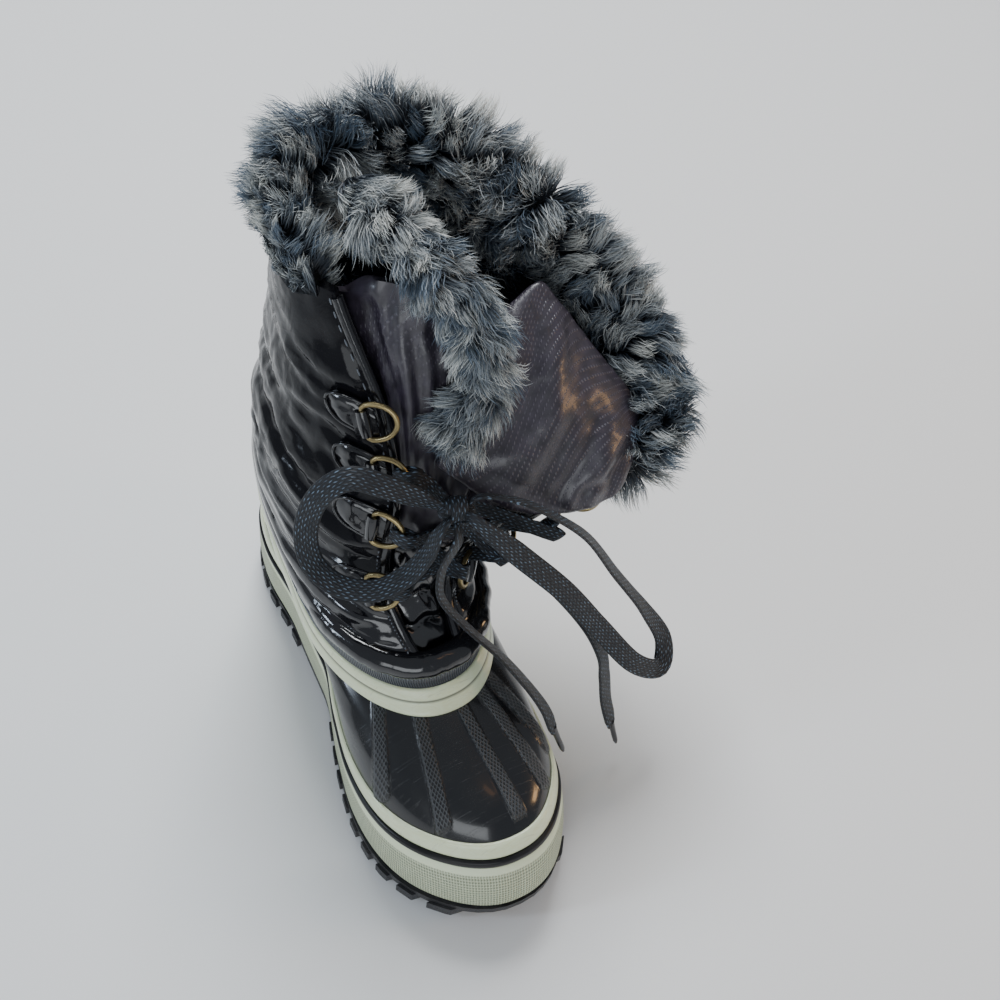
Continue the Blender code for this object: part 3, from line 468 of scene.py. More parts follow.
lumps = 0.35 * ripples(shell_face, 60.0, 3) * ease(2.4, 3.6, shell_levels)[:, None]
shell_front = shell_face + shell_out * (RIB_HEIGHT * rib + lumps)[..., None]
shell_back = shell_face - shell_out * SHELL_WALL

shell_rubber, tree, shader = new_material("shell_rubber", Coat_Roughness=0.06)
dust, scratches = use_group(tree, wear, 1.0)
on_rib = kept(tree, "rib")["Fac"]
lay = parts_of(tree, "lay")
slants = [plus(times(lay[0], 0.6), times(lay[1], way)) for way in (1.0, -1.0)]
knurl = [maths("SINE", times(slant, 3.5)) for slant in slants]
diamonds = times(maths("MAXIMUM", *knurl), on_rib)
grey = mixed(times(dust, 0.09), (0.006, 0.0065, 0.008, 1), DUST)
scuffed = mixed(times(scratches, 0.045), grey, (0.35, 0.36, 0.38, 1))
# Painted highlight: the knurl's peaks and a line along one side of each rib are painted a lighter grey.
one_side_highlight = between(maths("ABSOLUTE", maths("SUBTRACT", lay[1], -2.7)), 0.1, 0.5, 1.0, 0.0)
rib_painted_highlight = maths("MAXIMUM", between(diamonds, 0.4, 1.0), times(one_side_highlight, on_rib))
feed(shader, Base_Color=mixed(times(rib_painted_highlight, 0.42), scuffed, (0.15, 0.16, 0.17, 1)))
feed(shader, Roughness=plus(plus(times(dust, 0.22), times(on_rib, 0.16)), 0.20))
feed(shader, Coat_Weight=between(on_rib, 0.0, 1.0, 0.35, 0.05))
bumped(shader, plus(diamonds, times(scratches, -0.05)), 0.9, 0.35)

body = slab(shell_front, shell_back, True)
shell_values = {"rib": twice(rib), "lay": twice(rib_lay)}
shell = piece("shell_moulding", *body, shell_rubber, "black_rubber", shell_values)
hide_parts("shell")

# ---- Foxing, piping and band round the foot ----
# The foxing is a cream rubber strip with a cross-hatched face, bonded round the shell above the sole.
# Over it run a round black piping and a smooth cream band.

CREAM = (0.76, 0.83, 0.58, 1)
CREAM_SHADE = (0.52, 0.50, 0.30, 1)
RAND_WALL = 3.0
RAND_CLEAR = 0.7
RAND_TAPER = 1.0
FOXING_LEVELS = (0.14, 1.74)
PIPING_LEVELS = (1.73, 2.0)
BAND_LEVELS = (2.005, 2.66)

cream_rubber, tree, shader = new_material("cream_rubber", Coat_Weight=0.45, Coat_Roughness=0.12)
dust, scratches = use_group(tree, wear, 1.6)
cloud = noise(tree, 35.0, 3.0)
fresh = mixed(between(cloud, 0.35, 0.7), CREAM, (0.72, 0.77, 0.49, 1))
groove = kept(tree, "groove")["Fac"]
dirty = mixed(times(dust, 0.22), fresh, CREAM_SHADE)
# Darker along the groove at the step between the two layers.
darkened_groove = mixed(groove, dirty, (0.05, 0.05, 0.035, 1))
feed(shader, Base_Color=mixed(times(scratches, 0.3), darkened_groove, (0.30, 0.29, 0.22, 1)))
feed(shader, Roughness=between(dust, 0.0, 1.0, 0.33, 0.6))
bumped(shader, noise(tree, 260.0, 2.0), 0.12, 0.5)

foxing_rubber, tree, shader = new_material("foxing_rubber")
dust, scratches = use_group(tree, wear, 1.6)
lay = parts_of(tree, "lay")
slants = [plus(lay[0], times(lay[1], way)) for way in (0.8, -0.8)]
weave = times(*[maths("SINE", times(slant, 2.2)) for slant in slants])
# Painted shade: the dips of the cross-hatch are darkened, except along the strip at its top edge.
dip = between(weave, -0.5, 0.25, 1.0, 0.0)
edge_strip = between(lay[2], 0.82, 0.86)
body = times(weave, maths("SUBTRACT", 1.0, edge_strip))
shade = times(dip, maths("SUBTRACT", 0.75, times(edge_strip, 0.75)))
hollows = mixed(shade, CREAM, (0.15, 0.17, 0.10, 1))
feed(shader, Base_Color=mixed(times(dust, 0.25), hollows, CREAM_SHADE))
feed(shader, Roughness=between(dust, 0.0, 1.0, 0.45, 0.7))
bumped(shader, body, 1.0, 0.6)

band_turns = np.linspace(math.pi, 3 * math.pi, 360, endpoint=False)
rand_share = np.linspace(0.0, 1.0, 15)
rand_levels = FOXING_LEVELS[0] + (FOXING_LEVELS[1] - FOXING_LEVELS[0]) * rand_share
rand_outset = RAND_CLEAR + RAND_WALL - RAND_TAPER * rand_share
rand_face = rings(SHELL_RINGS, rand_levels, band_turns, rand_outset)
rand_out = outward(rand_face, True)
run = np.cumsum(np.linalg.norm(np.roll(rand_face[7], -1, axis=0) - rand_face[7], axis=1))
climb = np.cumsum(np.linalg.norm(np.gradient(rand_face[:, 0], axis=0), axis=1))
rand_lay = lay_of(run[None], climb[:, None], rand_share[:, None])
rounding = 0.9 * (np.abs(2 * rand_share - 1) ** 8)[:, None, None]
body = slab(rand_face - rand_out * rounding, rand_face - rand_out * RAND_WALL, True)
foxing = piece("foxing", *body, foxing_rubber, "cream_rubber", {"lay": twice(rand_lay)})
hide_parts("rand")


def strip_on_shell(levels, count, height, foot):
    """A strip bonded on the shell between two levels, with a rounded face and its edges at foot above it."""
    share = np.linspace(-1.0, 1.0, count)
    face = rings(SHELL_RINGS, np.linspace(*levels, count), band_turns)
    out = outward(face, True)
    rise = (foot + height * np.sqrt(np.clip(1 - np.abs(share) ** 3, 0, 1)))[:, None, None]
    return slab(face + out * rise, face + out * 0.1, True)


points, faces = strip_on_shell(BAND_LEVELS, 15, 1.3, 0.5)
piece("smooth_band", points, faces, cream_rubber, "cream_rubber", {"groove": np.zeros(len(points))})

piping_rubber, tree, shader = new_material("piping_rubber", Specular_IOR_Level=0.3)
dust, scratches = use_group(tree, wear, 2.0)
dusted(shader, dust, 0.12, (0.008, 0.008, 0.009, 1), 0.3, 0.6)
piece("piping", *strip_on_shell(PIPING_LEVELS, 9, 2.0, 0.7), piping_rubber, "black_rubber")

# ---- Throat binding ----
# Two layers of cream rubber, one over the other, finish the shell's throat and stand on its edge.

TRIM_RINGS = {
    "foot": (-145.5, 84.2, 43.9, 94.8, 46.1, 0.30, -4.0, 0.0),
    "low": (-143.2, 86.0, 43.9, 98.8, 46.1, 0.30, -4.0, 0.0),
    "middle": (-141.0, 91.5, 43.9, 104.5, 45.7, 0.30, -4.0, 0.0),
    "top": (-136.5, 97.0, 43.6, 110.5, 45.2, 0.28, -4.0, 0.0)
}
TRIM_WALL = 1.8
TRIM_STEP = 0.66

trim_levels = np.linspace(0.0, 3.0, 19)
trim_share = trim_levels / 3.0
trim_face = rings(TRIM_RINGS, trim_levels, band_turns)
trim_out = outward(trim_face, True)
lower = 1 - np.abs(2 * np.clip(trim_share / TRIM_STEP, 0, 1) - 1) ** 4
upper_layer = 1 - np.abs(2 * np.clip((trim_share - TRIM_STEP) / (1 - TRIM_STEP), 0, 1) - 1) ** 4
trim_rise = np.where(trim_share < TRIM_STEP, 0.9 * lower, 0.55 * upper_layer - 0.25)
groove_mask = np.exp(-(((trim_share - TRIM_STEP) / 0.022) ** 2))
body = slab(trim_face + trim_out * trim_rise[:, None, None], trim_face - trim_out * TRIM_WALL, True)
trim_values = {"groove": twice(np.repeat(groove_mask, 360))}
binding = piece("throat_binding", *body, cream_rubber, "cream_rubber", trim_values)
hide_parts("throat_trim")

# ---- Upper ----
# A padded upper in black patent, quilted in rolls and ruched up the shaft. It is open down the front
# between two facings, and slack: its outer side has fallen outwards and forwards.

SLUMP_FROM = 128.0
SLUMP_TO = 280.0
SLUMP_OUT = 44.0
SLUMP_OUT_SIDE = 36.0
SLUMP_FORWARD = 66.0
SLUMP_DOWN = 100.0
UPPER_WALL = 6.0
UPPER_RINGS = {
    "tuck": (-134.0, 71.0, 35.5, 84.0, 34.6, 0.30, -4.0, 0.0),
    "seam": (-136.0, 85.0, 37.2, 98.5, 38.8, 0.30, -4.0, 0.0),
    "roll_low": (-136.8, 92.0, 40.6, 105.0, 42.4, 0.30, -4.0, 0.0),
    "roll_high": (-132.2, 99.5, 41.2, 113.0, 43.0, 0.25, -3.5, 0.0),
    "vamp": (-132.0, 110.0, 43.0, 122.0, 44.0, 0.18, -2.0, 0.0),
    "instep": (-116.0, 122.0, 42.0, 132.0, 42.5, 0.08, 0.0, 0.0),
    "bend": (-101.0, 137.0, 42.0, 145.0, 41.5, 0.0, 2.0, 1.0),
    "ankle": (-90.0, 156.0, 44.0, 161.0, 41.5, 0.0, 2.0, 4.0),
    "calf_low": (-81.0, 186.0, 46.0, 190.0, 41.0, 0.0, 0.0, 10.0),
    "calf_high": (-64.0, 222.0, 46.0, 230.0, 41.5, 0.0, 0.0, 17.0),
    "collar": (-37.0, 272.0, 42.0, 283.0, 44.0, 0.0, 0.0, 24.0)
}
COLLAR = len(UPPER_RINGS) - 1
OPENING = {
    "level": (0.0, 3.6, 4.0, 4.6, 5.4, 6.2, 7.0, 8.0, 9.0, 10.0),
    "medial": (0.0, 0.0, 9.0, 13.0, 16.5, 20.0, 21.0, 21.0, 26.0, 44.0),
    "lateral": (0.0, 0.0, 9.0, 13.0, 16.5, 20.0, 22.0, 26.0, 32.0, 38.0)
}
QUILT_SEAMS = (3.62, 4.62, 5.45, 6.25, 7.0, 7.7, 8.35, 9.0, 9.6)
QUILT_DEPTH = 2.6
# The folds walking has set: depth and half width, then the level and turn of its start, middle and end.
UPPER_CREASES = (
    (2.4, 4.5, (6.0, 337.0), (5.6, 308.0), (5.9, 262.0)),
    (2.8, 5.0, (7.0, 334.0), (6.6, 300.0), (6.9, 246.0)),
    (2.2, 4.0, (7.7, 335.0), (7.5, 306.0), (7.9, 258.0)),
    (2.0, 4.0, (8.5, 336.0), (8.7, 306.0), (8.4, 262.0)),
    (1.8, 3.5, (9.3, 330.0), (9.2, 300.0), (9.4, 255.0)),
    (2.4, 4.5, (6.1, 26.0), (5.7, 58.0), (6.0, 104.0)), (2.8, 5.0, (7.1, 28.0), (6.7, 64.0), (7.0, 118.0)),
    (2.2, 4.5, (7.9, 30.0), (7.7, 72.0), (8.1, 128.0)), (2.4, 4.5, (8.7, 36.0), (8.8, 84.0), (8.9, 140.0)),
    (2.6, 5.0, (6.4, 140.0), (6.1, 180.0), (6.5, 222.0)),
    (2.2, 4.5, (7.4, 146.0), (7.2, 184.0), (7.5, 226.0)), (1.6, 3.5, (5.1, 24.0), (4.9, 48.0), (5.2, 80.0)),
    (1.6, 3.5, (5.1, 338.0), (4.9, 314.0), (5.2, 282.0))
)


def slump(points, angles):
    """The slack lateral side of the shaft falls outward, forward and down; the medial side stands."""
    turn = np.degrees((np.asarray(angles) + math.pi) % (2 * math.pi) - math.pi)
    height = np.clip((points[:, 2] - SLUMP_FROM) / (SLUMP_TO - SLUMP_FROM), 0.0, 1.2)
    front = 1.08 * ease(-44.0, 38.0, turn) * height**1.35
    spread = front * (1 - ease(40.0, 182.0, turn))
    fall = front * (1 - ease(40.0, 156.0, turn))
    moved = points.copy()
    moved[:, 0] += spread * (SLUMP_OUT + SLUMP_OUT_SIDE * np.sin(angles) ** 2)
    moved[:, 1] -= fall * SLUMP_FORWARD
    moved[:, 2] -= fall * SLUMP_DOWN
    return moved


def on_upper(level, degrees):
    angles = np.radians(degrees)
    return slump(ring_points(row_between(UPPER_RINGS, level), angles), angles)


def upper_face(level, degrees, outset=0.0):
    """Points on the upper's plain outer face at one level, moved off it by outset, and its normals there."""
    degrees = np.atleast_1d(np.asarray(degrees, float))
    upward = on_upper(min(level + 0.05, COLLAR), degrees) - on_upper(max(level - 0.05, 0.0), degrees)
    onward = on_upper(level, degrees + 1.0) - on_upper(level, degrees - 1.0)
    out = unit(np.cross(onward, upward))
    lift = np.broadcast_to(outset, degrees.shape)[:, None]
    return on_upper(level, degrees) + out * lift, out


def upper_rows(levels, turns, outset=0.0):
    """Grids of points and normals of the upper's face. turns gives each level's angles, in degrees."""
    faces = [upper_face(level, turns(level), outset) for level in levels]
    return np.array([face[0] for face in faces]), np.array([face[1] for face in faces])


def facing_edges(level):
    lateral = float(curve_through(OPENING["level"], OPENING["lateral"], level))
    medial = float(curve_through(OPENING["level"], OPENING["medial"], level))
    return lateral, 360.0 - medial


def round_upper(count):
    """Turns for upper_rows: count angles from one facing's edge round the back to the other's."""
    return lambda level: np.linspace(*facing_edges(level), count)


def smooth_route(points, spacing):
    """Evenly spaced points on a smooth curve through the route's points."""
    points = np.asarray(points, float)
    ends = np.vstack([2 * points[0] - points[1], points, 2 * points[-1] - points[-2]])
    slope = (ends[2:] - ends[:-2]) / 2
    t = np.linspace(0.0, 1.0, 24, endpoint=False)[:, None]
    h = (2 * t**3 - 3 * t**2 + 1, t**3 - 2 * t**2 + t, 3 * t**2 - 2 * t**3, t**3 - t**2)
    dense = [h[0] * points[k] + h[1] * slope[k] + h[2] * points[k + 1] + h[3] * slope[k + 1] for k in range(
        len(points) - 1
    )]
    dense = np.vstack([*dense, points[-1:]])
    run = np.concatenate([[0.0], np.cumsum(np.linalg.norm(np.diff(dense, axis=0), axis=1))])
    at = np.linspace(0.0, run[-1], max(2, int(round(run[-1] / spacing)) + 1))
    return np.column_stack([np.interp(at, run, dense[:, k]) for k in range(3)])


def creases(grid, table, place):
    """Soft troughs with a ridge on each side. Each has its depth and half width, then places along it."""
    total = np.zeros(grid.shape[:2])
    flat = grid.reshape(-1, 3)
    for depth, width, *spots in table:
        line = smooth_route([place(*spot) for spot in spots], 2.0)
        apart = np.linalg.norm(flat[:, None] - line[None], axis=-1)
        nearest = np.argmin(apart, axis=1)
        off = apart[np.arange(len(flat)), nearest]
        fade = np.sin(math.pi * (0.04 + 0.92 * nearest / (len(line) - 1))) ** 0.6
        dip = np.exp(-((off / width) ** 2)) - 0.5 * np.exp(-(((off - 1.9 * width) / width) ** 2))
        total = total - (depth * dip * fade).reshape(total.shape)
    return total


def quilted(levels, seams, depth):
    """How far the padding stands out between sewn lines."""
    seams = np.asarray(seams)
    k = np.clip(np.searchsorted(seams, levels) - 1, 0, len(seams) - 2)
    t = np.clip((levels - seams[k]) / (seams[k + 1] - seams[k]), 0.0, 1.0)
    return depth * (1 - np.abs(2 * t - 1) ** 2.4)


upper_levels = np.concatenate([np.linspace(0.0, 2.4, 6, endpoint=False), np.linspace(2.4, COLLAR, 106)])
UPPER_COLUMNS = 201
upper_grid, upper_out = upper_rows(upper_levels, round_upper(UPPER_COLUMNS))
level_of = np.repeat(upper_levels[:, None], UPPER_COLUMNS, axis=1)
waved = level_of + 0.10 * ripples(upper_grid, 70.0, 11)
padding = quilted(waved, QUILT_SEAMS, QUILT_DEPTH) * ease(3.5, 3.9, level_of)
padding = padding * (1 - 0.5 * ease(7.0, 9.0, level_of))
near_seam = 1 - padding / QUILT_DEPTH
pucker = ripples(upper_grid, 7.5, 12, (1.0, 1.0, 0.28)) * 0.42 * near_seam
ruche = ripples(upper_grid, 7.0, 13, (0.22, 0.22, 1.0))
ruche = 0.6 * (1 - 2 * np.abs(ruche)) * ease(5.6, 7.0, level_of)
fold = 0.9 * ripples(upper_grid, 40.0, 14, (0.6, 0.6, 1.0)) * ease(4.4, 6.0, level_of)
share = np.linspace(0.0, 1.0, UPPER_COLUMNS)[None]
from_edge = np.minimum(share, 1 - share)
settle = ease(0.0, 0.012, from_edge) * ease(2.9, 3.6, level_of) * (1 - ease(9.6, 10.0, level_of))
hand_creases = creases(upper_grid, UPPER_CREASES, lambda level, turn: upper_face(level, turn)[0][0])
upper_rise = (padding + pucker + ruche + fold + hand_creases) * settle
upper_front = upper_grid + upper_out * upper_rise[..., None]
upper_back = upper_grid - upper_out * UPPER_WALL

crinkle, leave, scale, spot = new_group("crinkle", "Height")
folds = [noise(crinkle, times(scale, size), 3.0, 0.8, Vector=spot) for size in (60.0, 210.0)]
ridged = maths("ABSOLUTE", maths("SUBTRACT", folds[0], 0.5))
feed(leave, Height=maths("SUBTRACT", times(folds[1], 0.35), times(ridged, 2.2)))
PATENT = (0.0045, 0.0045, 0.0065, 1)
patent, tree, shader = new_material("patent", Coat_Roughness=0.035)
height = use_group(tree, crinkle, 1.0)["Height"]
dust, scratches = use_group(tree, wear, 1.2)
dusted(shader, dust, 0.05, PATENT, 0.14, 0.34)
bumped(shader, height, 0.32, 0.9)
on_shaft = kept(tree, "shaft")["Fac"]
feed(shader, Coat_Weight=between(on_shaft, 0.0, 1.0, 0.7, 0.12))
feed(shader, Specular_IOR_Level=between(on_shaft, 0.0, 1.0, 0.4, 0.16))

shaft_share = twice(ease(6.2, 7.6, level_of))
body = slab(upper_front, upper_back, False)
upper = piece("quilted_upper", *body, patent, "dark_satin", {"shaft": shaft_share})
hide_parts("upper")

# ---- Vamp roll ----
# The lowest roll of the quilting runs unbroken round the front, over the foot of the throat.

ROLL_LEVELS = (3.50, 4.56)
ROLL_TURNS = (-78.0, 78.0)
roll_turns = np.linspace(*ROLL_TURNS, 121)
roll_share = np.linspace(-1.0, 1.0, 21)
roll_end = ease(1.0, 0.72, np.abs(np.linspace(-1, 1, 121)))
roll_rows, roll_outs = upper_rows(np.linspace(*ROLL_LEVELS, 21), lambda level: roll_turns)
bulge = 1.0 + (3.6 * (1 - np.abs(roll_share) ** 2.6))[:, None] * (0.35 + 0.65 * roll_end[None])
edges = (1 - np.abs(roll_share) ** 2)[:, None]
bulge = bulge + 0.5 * ripples(roll_rows, 16.0, 21) * edges + 0.22 * ripples(roll_rows, 6.0, 22) * edges
body = slab(roll_rows + roll_outs * bulge[..., None], roll_rows - roll_outs * 0.5, False)
piece("vamp_roll", *body, patent, "black_patent")

# ---- Grosgrain tape ----
# A ribbed tape covers the seam between the upper and the rubber, sewn with a zigzag along its top edge.

TAPE_LEVELS = (2.45, 3.62)
tape_turns = np.linspace(180.0, 540.0, 300, endpoint=False)
tape_share = np.linspace(-1.0, 1.0, 9)
tape_rows, tape_outs = upper_rows(np.linspace(*TAPE_LEVELS, 9), lambda level: tape_turns)
tape_run = np.cumsum(np.linalg.norm(np.roll(tape_rows[4], -1, axis=0) - tape_rows[4], axis=1))
tape_lay = lay_of(tape_run[None], tape_share[:, None], 0.0)
tape_rise = (1.5 + 0.35 * (1 - tape_share**4))[:, None, None]
grosgrain, tree, shader = new_material("grosgrain", Roughness=0.62, Sheen_Weight=0.35)
rib_wave = maths("SINE", times(parts_of(tree, "lay")[0], 5.6))
lit = times(between(rib_wave, -0.6, 1.0), between(noise(tree, 900.0), 0.3, 0.7, 0.5, 1.0))
feed(shader, Base_Color=mixed(lit, (0.010, 0.012, 0.016, 1), (0.055, 0.070, 0.090, 1)))
bumped(shader, rib_wave, 0.8, 0.3)
body = slab(tape_rows + tape_outs * tape_rise, tape_rows + tape_outs * 0.2, True)
piece("grosgrain_tape", *body, grosgrain, "black_cord", {"lay": twice(tape_lay)})


def swept(ids):
    """Faces of a body swept along a line: its skin and both its ends."""
    return [*skin_of(ids, np.roll(ids, -1, axis=1)), ids[0, ::-1], ids[-1]]


def bead_chain(points_from, points_to, radius, sides=5):
    """Points and faces of many short round-ended stitches, one from each first point to each second."""
    first, last = np.asarray(points_from, float), np.asarray(points_to, float)
    way = unit(last - first)
    aside = unit(np.cross(way, np.array((0.31, 0.57, 0.76))))
    third = np.cross(way, aside)
    turn = np.arange(sides) * 2 * math.pi / sides
    circle = aside[:, None] * np.cos(turn)[None, :, None] + third[:, None] * np.sin(turn)[None, :, None]
    stations = []
    for share, thick in ((0.0, 0.35), (0.15, 0.9), (0.5, 1.1), (0.85, 0.9), (1.0, 0.35)):
        middle = first * (1 - share) + last * share
        stations.append(middle[:, None] + circle * radius * thick)
    body = np.stack(stations, axis=1)
    ids = np.arange(body.shape[0] * 5 * sides).reshape(-1, 5, sides)
    return body.reshape(-1, 3), [face for stitch in ids for face in swept(stitch)]


thread, tree, shader = new_material("thread", Roughness=0.5, Sheen_Weight=0.2)
feed(shader, Base_Color=mixed(noise(tree, 1500.0, 2.0), (0.05, 0.06, 0.08, 1), (0.20, 0.22, 0.25, 1)))

zigzag_turns = np.linspace(0.0, 360.0, 190, endpoint=False)
high = upper_face(TAPE_LEVELS[1] - 0.10, zigzag_turns, 2.1)[0]
low = upper_face(TAPE_LEVELS[1] - 0.34, zigzag_turns + 0.95, 2.1)[0]
piece("zigzag_stitches", *bead_chain(low, high, 0.32), thread, "black_cord")

# ---- Facing bindings ----
# Each edge of the throat is bound with a narrow patent tape, sewn down with small stitches.

BINDING_RADIUS = 2.7


def tube(line, radius, sides=10):
    """Points and faces of a round tube along a line of points; radius is one number or one for each point."""
    line = np.asarray(line, float)
    run = unit(np.gradient(line, axis=0))
    aside = unit(np.cross(run, np.array((0.12, 0.35, 0.93))))
    third = np.cross(run, aside)
    turn = np.arange(sides) * 2 * math.pi / sides
    radius = np.broadcast_to(radius, len(line))[:, None, None]
    circle = aside[:, None] * np.cos(turn)[None, :, None] + third[:, None] * np.sin(turn)[None, :, None]
    body = line[:, None] + circle * radius
    ids = np.arange(len(line) * sides).reshape(len(line), sides)
    return body.reshape(-1, 3), swept(ids)


def joined(bodies):
    """Several bodies of points and faces as one."""
    points, faces, count = [], [], 0
    for body_points, body_faces in bodies:
        points.append(np.asarray(body_points))
        faces += [[index + count for index in face] for face in body_faces]
        count += len(body_points)
    return np.concatenate(points), faces


sewn_line = {
    "medial": lambda level: facing_edges(level)[1] - np.array((0, 3.2)),
    "lateral": lambda level: facing_edges(level)[0] + np.array((0, 3.2))
}
for side in ("medial", "lateral"):
    edge_levels = np.linspace(3.75, 9.96, 130)
    place, out = upper_rows(edge_levels, sewn_line[side], 1.0)
    piece(f"binding_{side}", *tube(place[:, 0] - out[:, 0] * 2.4, BINDING_RADIUS, 12), patent, "black_patent")
    sewn = place[:, 1] + out[:, 1] * 0.9
    piece(f"binding_stitches_{side}", *bead_chain(sewn[:-1:2], sewn[1::2], 0.35), thread, "black_cord")

# ---- Tongue ----
# A bellows tongue, sewn to both facings. Low down it is quilted patent; its slack top is dark satin,
# gathered into a lobe on the inner side and billowing over the outer facing.

TONGUE_FOLDS = {
    "gather": ((6.0, -60.0, 236.0), (14.0, -36.0, 282.0)),
    "crest": ((24.0, -68.0, 222.0), (34.0, -54.0, 262.0)),
    "shoulder": ((36.0, -76.0, 202.0), (46.0, -64.0, 230.0)),
    "valley": ((50.0, -66.0, 190.0), (62.0, -36.0, 216.0)),
    "ridge": ((66.0, -64.0, 198.0), (88.0, -34.0, 234.0)),
    "panel": ((78.0, -72.0, 189.0), (102.0, -66.0, 212.0))
}
# The lobes' folds: depth and half width, then the places' shares across and levels up the tongue.
TONGUE_CREASES = (
    (2.6, 3.0, (0.165, 7.9), (0.185, 7.1), (0.235, 6.2)),
    (2.4, 2.8, (0.205, 7.9), (0.235, 7.1), (0.285, 6.1)),
    (2.8, 3.0, (0.250, 7.9), (0.285, 7.1), (0.330, 6.0)),
    (2.4, 2.8, (0.300, 7.9), (0.335, 7.1), (0.370, 6.1)),
    (2.6, 3.0, (0.350, 7.9), (0.380, 7.0), (0.405, 6.0)),
    (2.2, 2.8, (0.400, 7.8), (0.425, 7.0), (0.440, 6.2)),
    (4.5, 5.5, (0.560, 7.9), (0.575, 7.0), (0.560, 5.8)),
    (2.2, 4.0, (0.640, 7.6), (0.700, 6.9), (0.690, 6.0)),
    (2.6, 4.0, (0.900, 7.7), (0.840, 7.1), (0.800, 6.2)),
    (-2.6, 5.0, (0.680, 7.9), (0.720, 7.3), (0.800, 6.7))
)
# The outer lobe: its top rim and its hem, from under the fur roll to the corner over the facing.
LOBE_RIM = ((60, -44, 228), (72, -37, 240), (87, -34, 246), (97, -46, 234), (112, -66, 210), (123, -80, 192))
LOBE_HEM = (
    (17, -79, 203), (40, -96, 180), (57, -103, 172), (75, -107, 169), (94, -109, 170), (112, -97, 182)
)
LOBE_FILL = 13.0
# Depth and half width of the lobe's folds, then shares along it and down it.
LOBE_CREASES = (
    (3.2, 6.0, (0.10, 0.80), (0.30, 0.52), (0.40, 0.10)),
    (-2.0, 6.0, (0.25, 0.95), (0.50, 0.60), (0.56, 0.12)),
    (2.2, 4.5, (0.48, 0.96), (0.66, 0.74), (0.74, 0.40)),
    (2.8, 4.0, (0.78, 0.98), (0.86, 0.78), (0.97, 0.70)),
    (1.6, 3.0, (0.62, 0.98), (0.68, 0.90), (0.80, 0.86))
)
TONGUE_TUCK = 9.0
TONGUE_INWARD = (0.0, 0.9, -0.44)
TONGUE_WALL = 7.0


def tongue_rows():
    """Rows from under the vamp to the upper edge. Both side edges are tucked behind the facings."""
    across = np.linspace(0.0, 1.0, 17)
    inset = UPPER_WALL + 1.8
    rows = []
    for level in (3.75, 4.3, 5.0, 5.8, 6.6, 7.4, 8.0):
        lateral, medial = facing_edges(level)
        low = 1 - float(ease(3.75, 5.6, level))
        tuck = TONGUE_TUCK + 8.0 * low
        turns = (medial - 360.0 - tuck) * (1 - across) + (lateral + tuck) * across
        rise = 4.5 * float(ease(4.6, 7.0, level)) * np.clip(np.sin(np.pi * across), 0, 1) ** 1.6
        rise = rise - 3.0 * ease(0.68, 0.95, across) - 1.2 * ease(0.32, 0.1, across) - 1.0 * low
        rows.append(upper_face(level, turns % 360.0, rise - inset)[0])
    for side, level in enumerate((9.0, 9.93)):
        lateral, medial = facing_edges(level)
        behind = inset + 1.8
        first = upper_face(level, [medial - TONGUE_TUCK, medial], -behind)[0]
        final = upper_face(level, [lateral, lateral + TONGUE_TUCK], -behind - 5.4)[0]
        knots = np.concatenate([first, [fold[side] for fold in TONGUE_FOLDS.values()], final])
        stations = np.concatenate([[0.0, 0.1], np.linspace(0.22, 0.82, len(TONGUE_FOLDS)), [0.93, 1.0]])
        rows.append(np.column_stack([curve_through(stations, column, across) for column in knots.T]))
    return np.array(rows)


def finer(grid, at):
    """Rows of the grid at the places at, smoothly between its own."""
    flat = grid.reshape(len(grid), -1)
    made = [curve_through(range(len(grid)), column, at) for column in flat.T]
    return np.stack(made, axis=1).reshape(len(at), *grid.shape[1:])


coarse = tongue_rows()
down = np.linspace(0.0, len(coarse) - 1, 101)
over = np.linspace(0.0, 16.0, 143)
half_way = finer(coarse, down)
tongue_grid = finer(half_way.swapaxes(0, 1), over).swapaxes(0, 1)
tongue_out = outward(tongue_grid, False)
u = np.repeat((over / 16.0)[None], len(down), axis=0)
v = np.repeat(down[:, None], len(over), axis=1)
top = ease(5.6, 7.0, v)
right_lobe = ease(0.58, 0.66, u) * (1 - ease(0.90, 0.97, u)) * top
folds = creases(tongue_grid, TONGUE_CREASES, lambda a, b: tongue_grid[int(b * 12.5), int(a * 142)])
billow = 3.2 * right_lobe * np.sin(np.pi * np.clip((v - 5.6) / 2.5, 0, 1)) ** 0.8
puffs = quilted(v + 0.08 * np.sin(u * 21.0), (0.0, 1.2, 2.2, 3.2, 4.2, 5.2, 6.1), 2.0)
puffs = puffs * (1 - ease(5.4, 6.2, v)) * ease(0.0, 0.16, u) * (1 - ease(0.84, 1.0, u))
softness = 1.1 * ripples(tongue_grid, 30.0, 31) * top + 0.35 * ripples(tongue_grid, 9.0, 32, (1.0, 1.0, 0.5))
rim = np.minimum(ease(0.0, 0.03, u), 1 - ease(0.97, 1.0, u)) * (1 - ease(7.9, 8.0, v))
tongue_front = tongue_grid + tongue_out * ((folds + billow + puffs + softness) * rim)[..., None]
tongue_back = tongue_grid + np.array(TONGUE_INWARD) * TONGUE_WALL
run_u = np.concatenate([[0.0], np.cumsum(np.linalg.norm(np.diff(tongue_grid[87], axis=0), axis=1))])
run_v = np.concatenate([[0.0], np.cumsum(np.linalg.norm(np.diff(tongue_grid[:, 71], axis=0), axis=1))])
woven_share = 0.7 * ease(6.9, 7.7, v) * (1 - ease(7.75, 7.95, v))
tongue_lay = lay_of(run_u[None], run_v[:, None], woven_share)
satin_share = ease(4.9, 5.6, v)

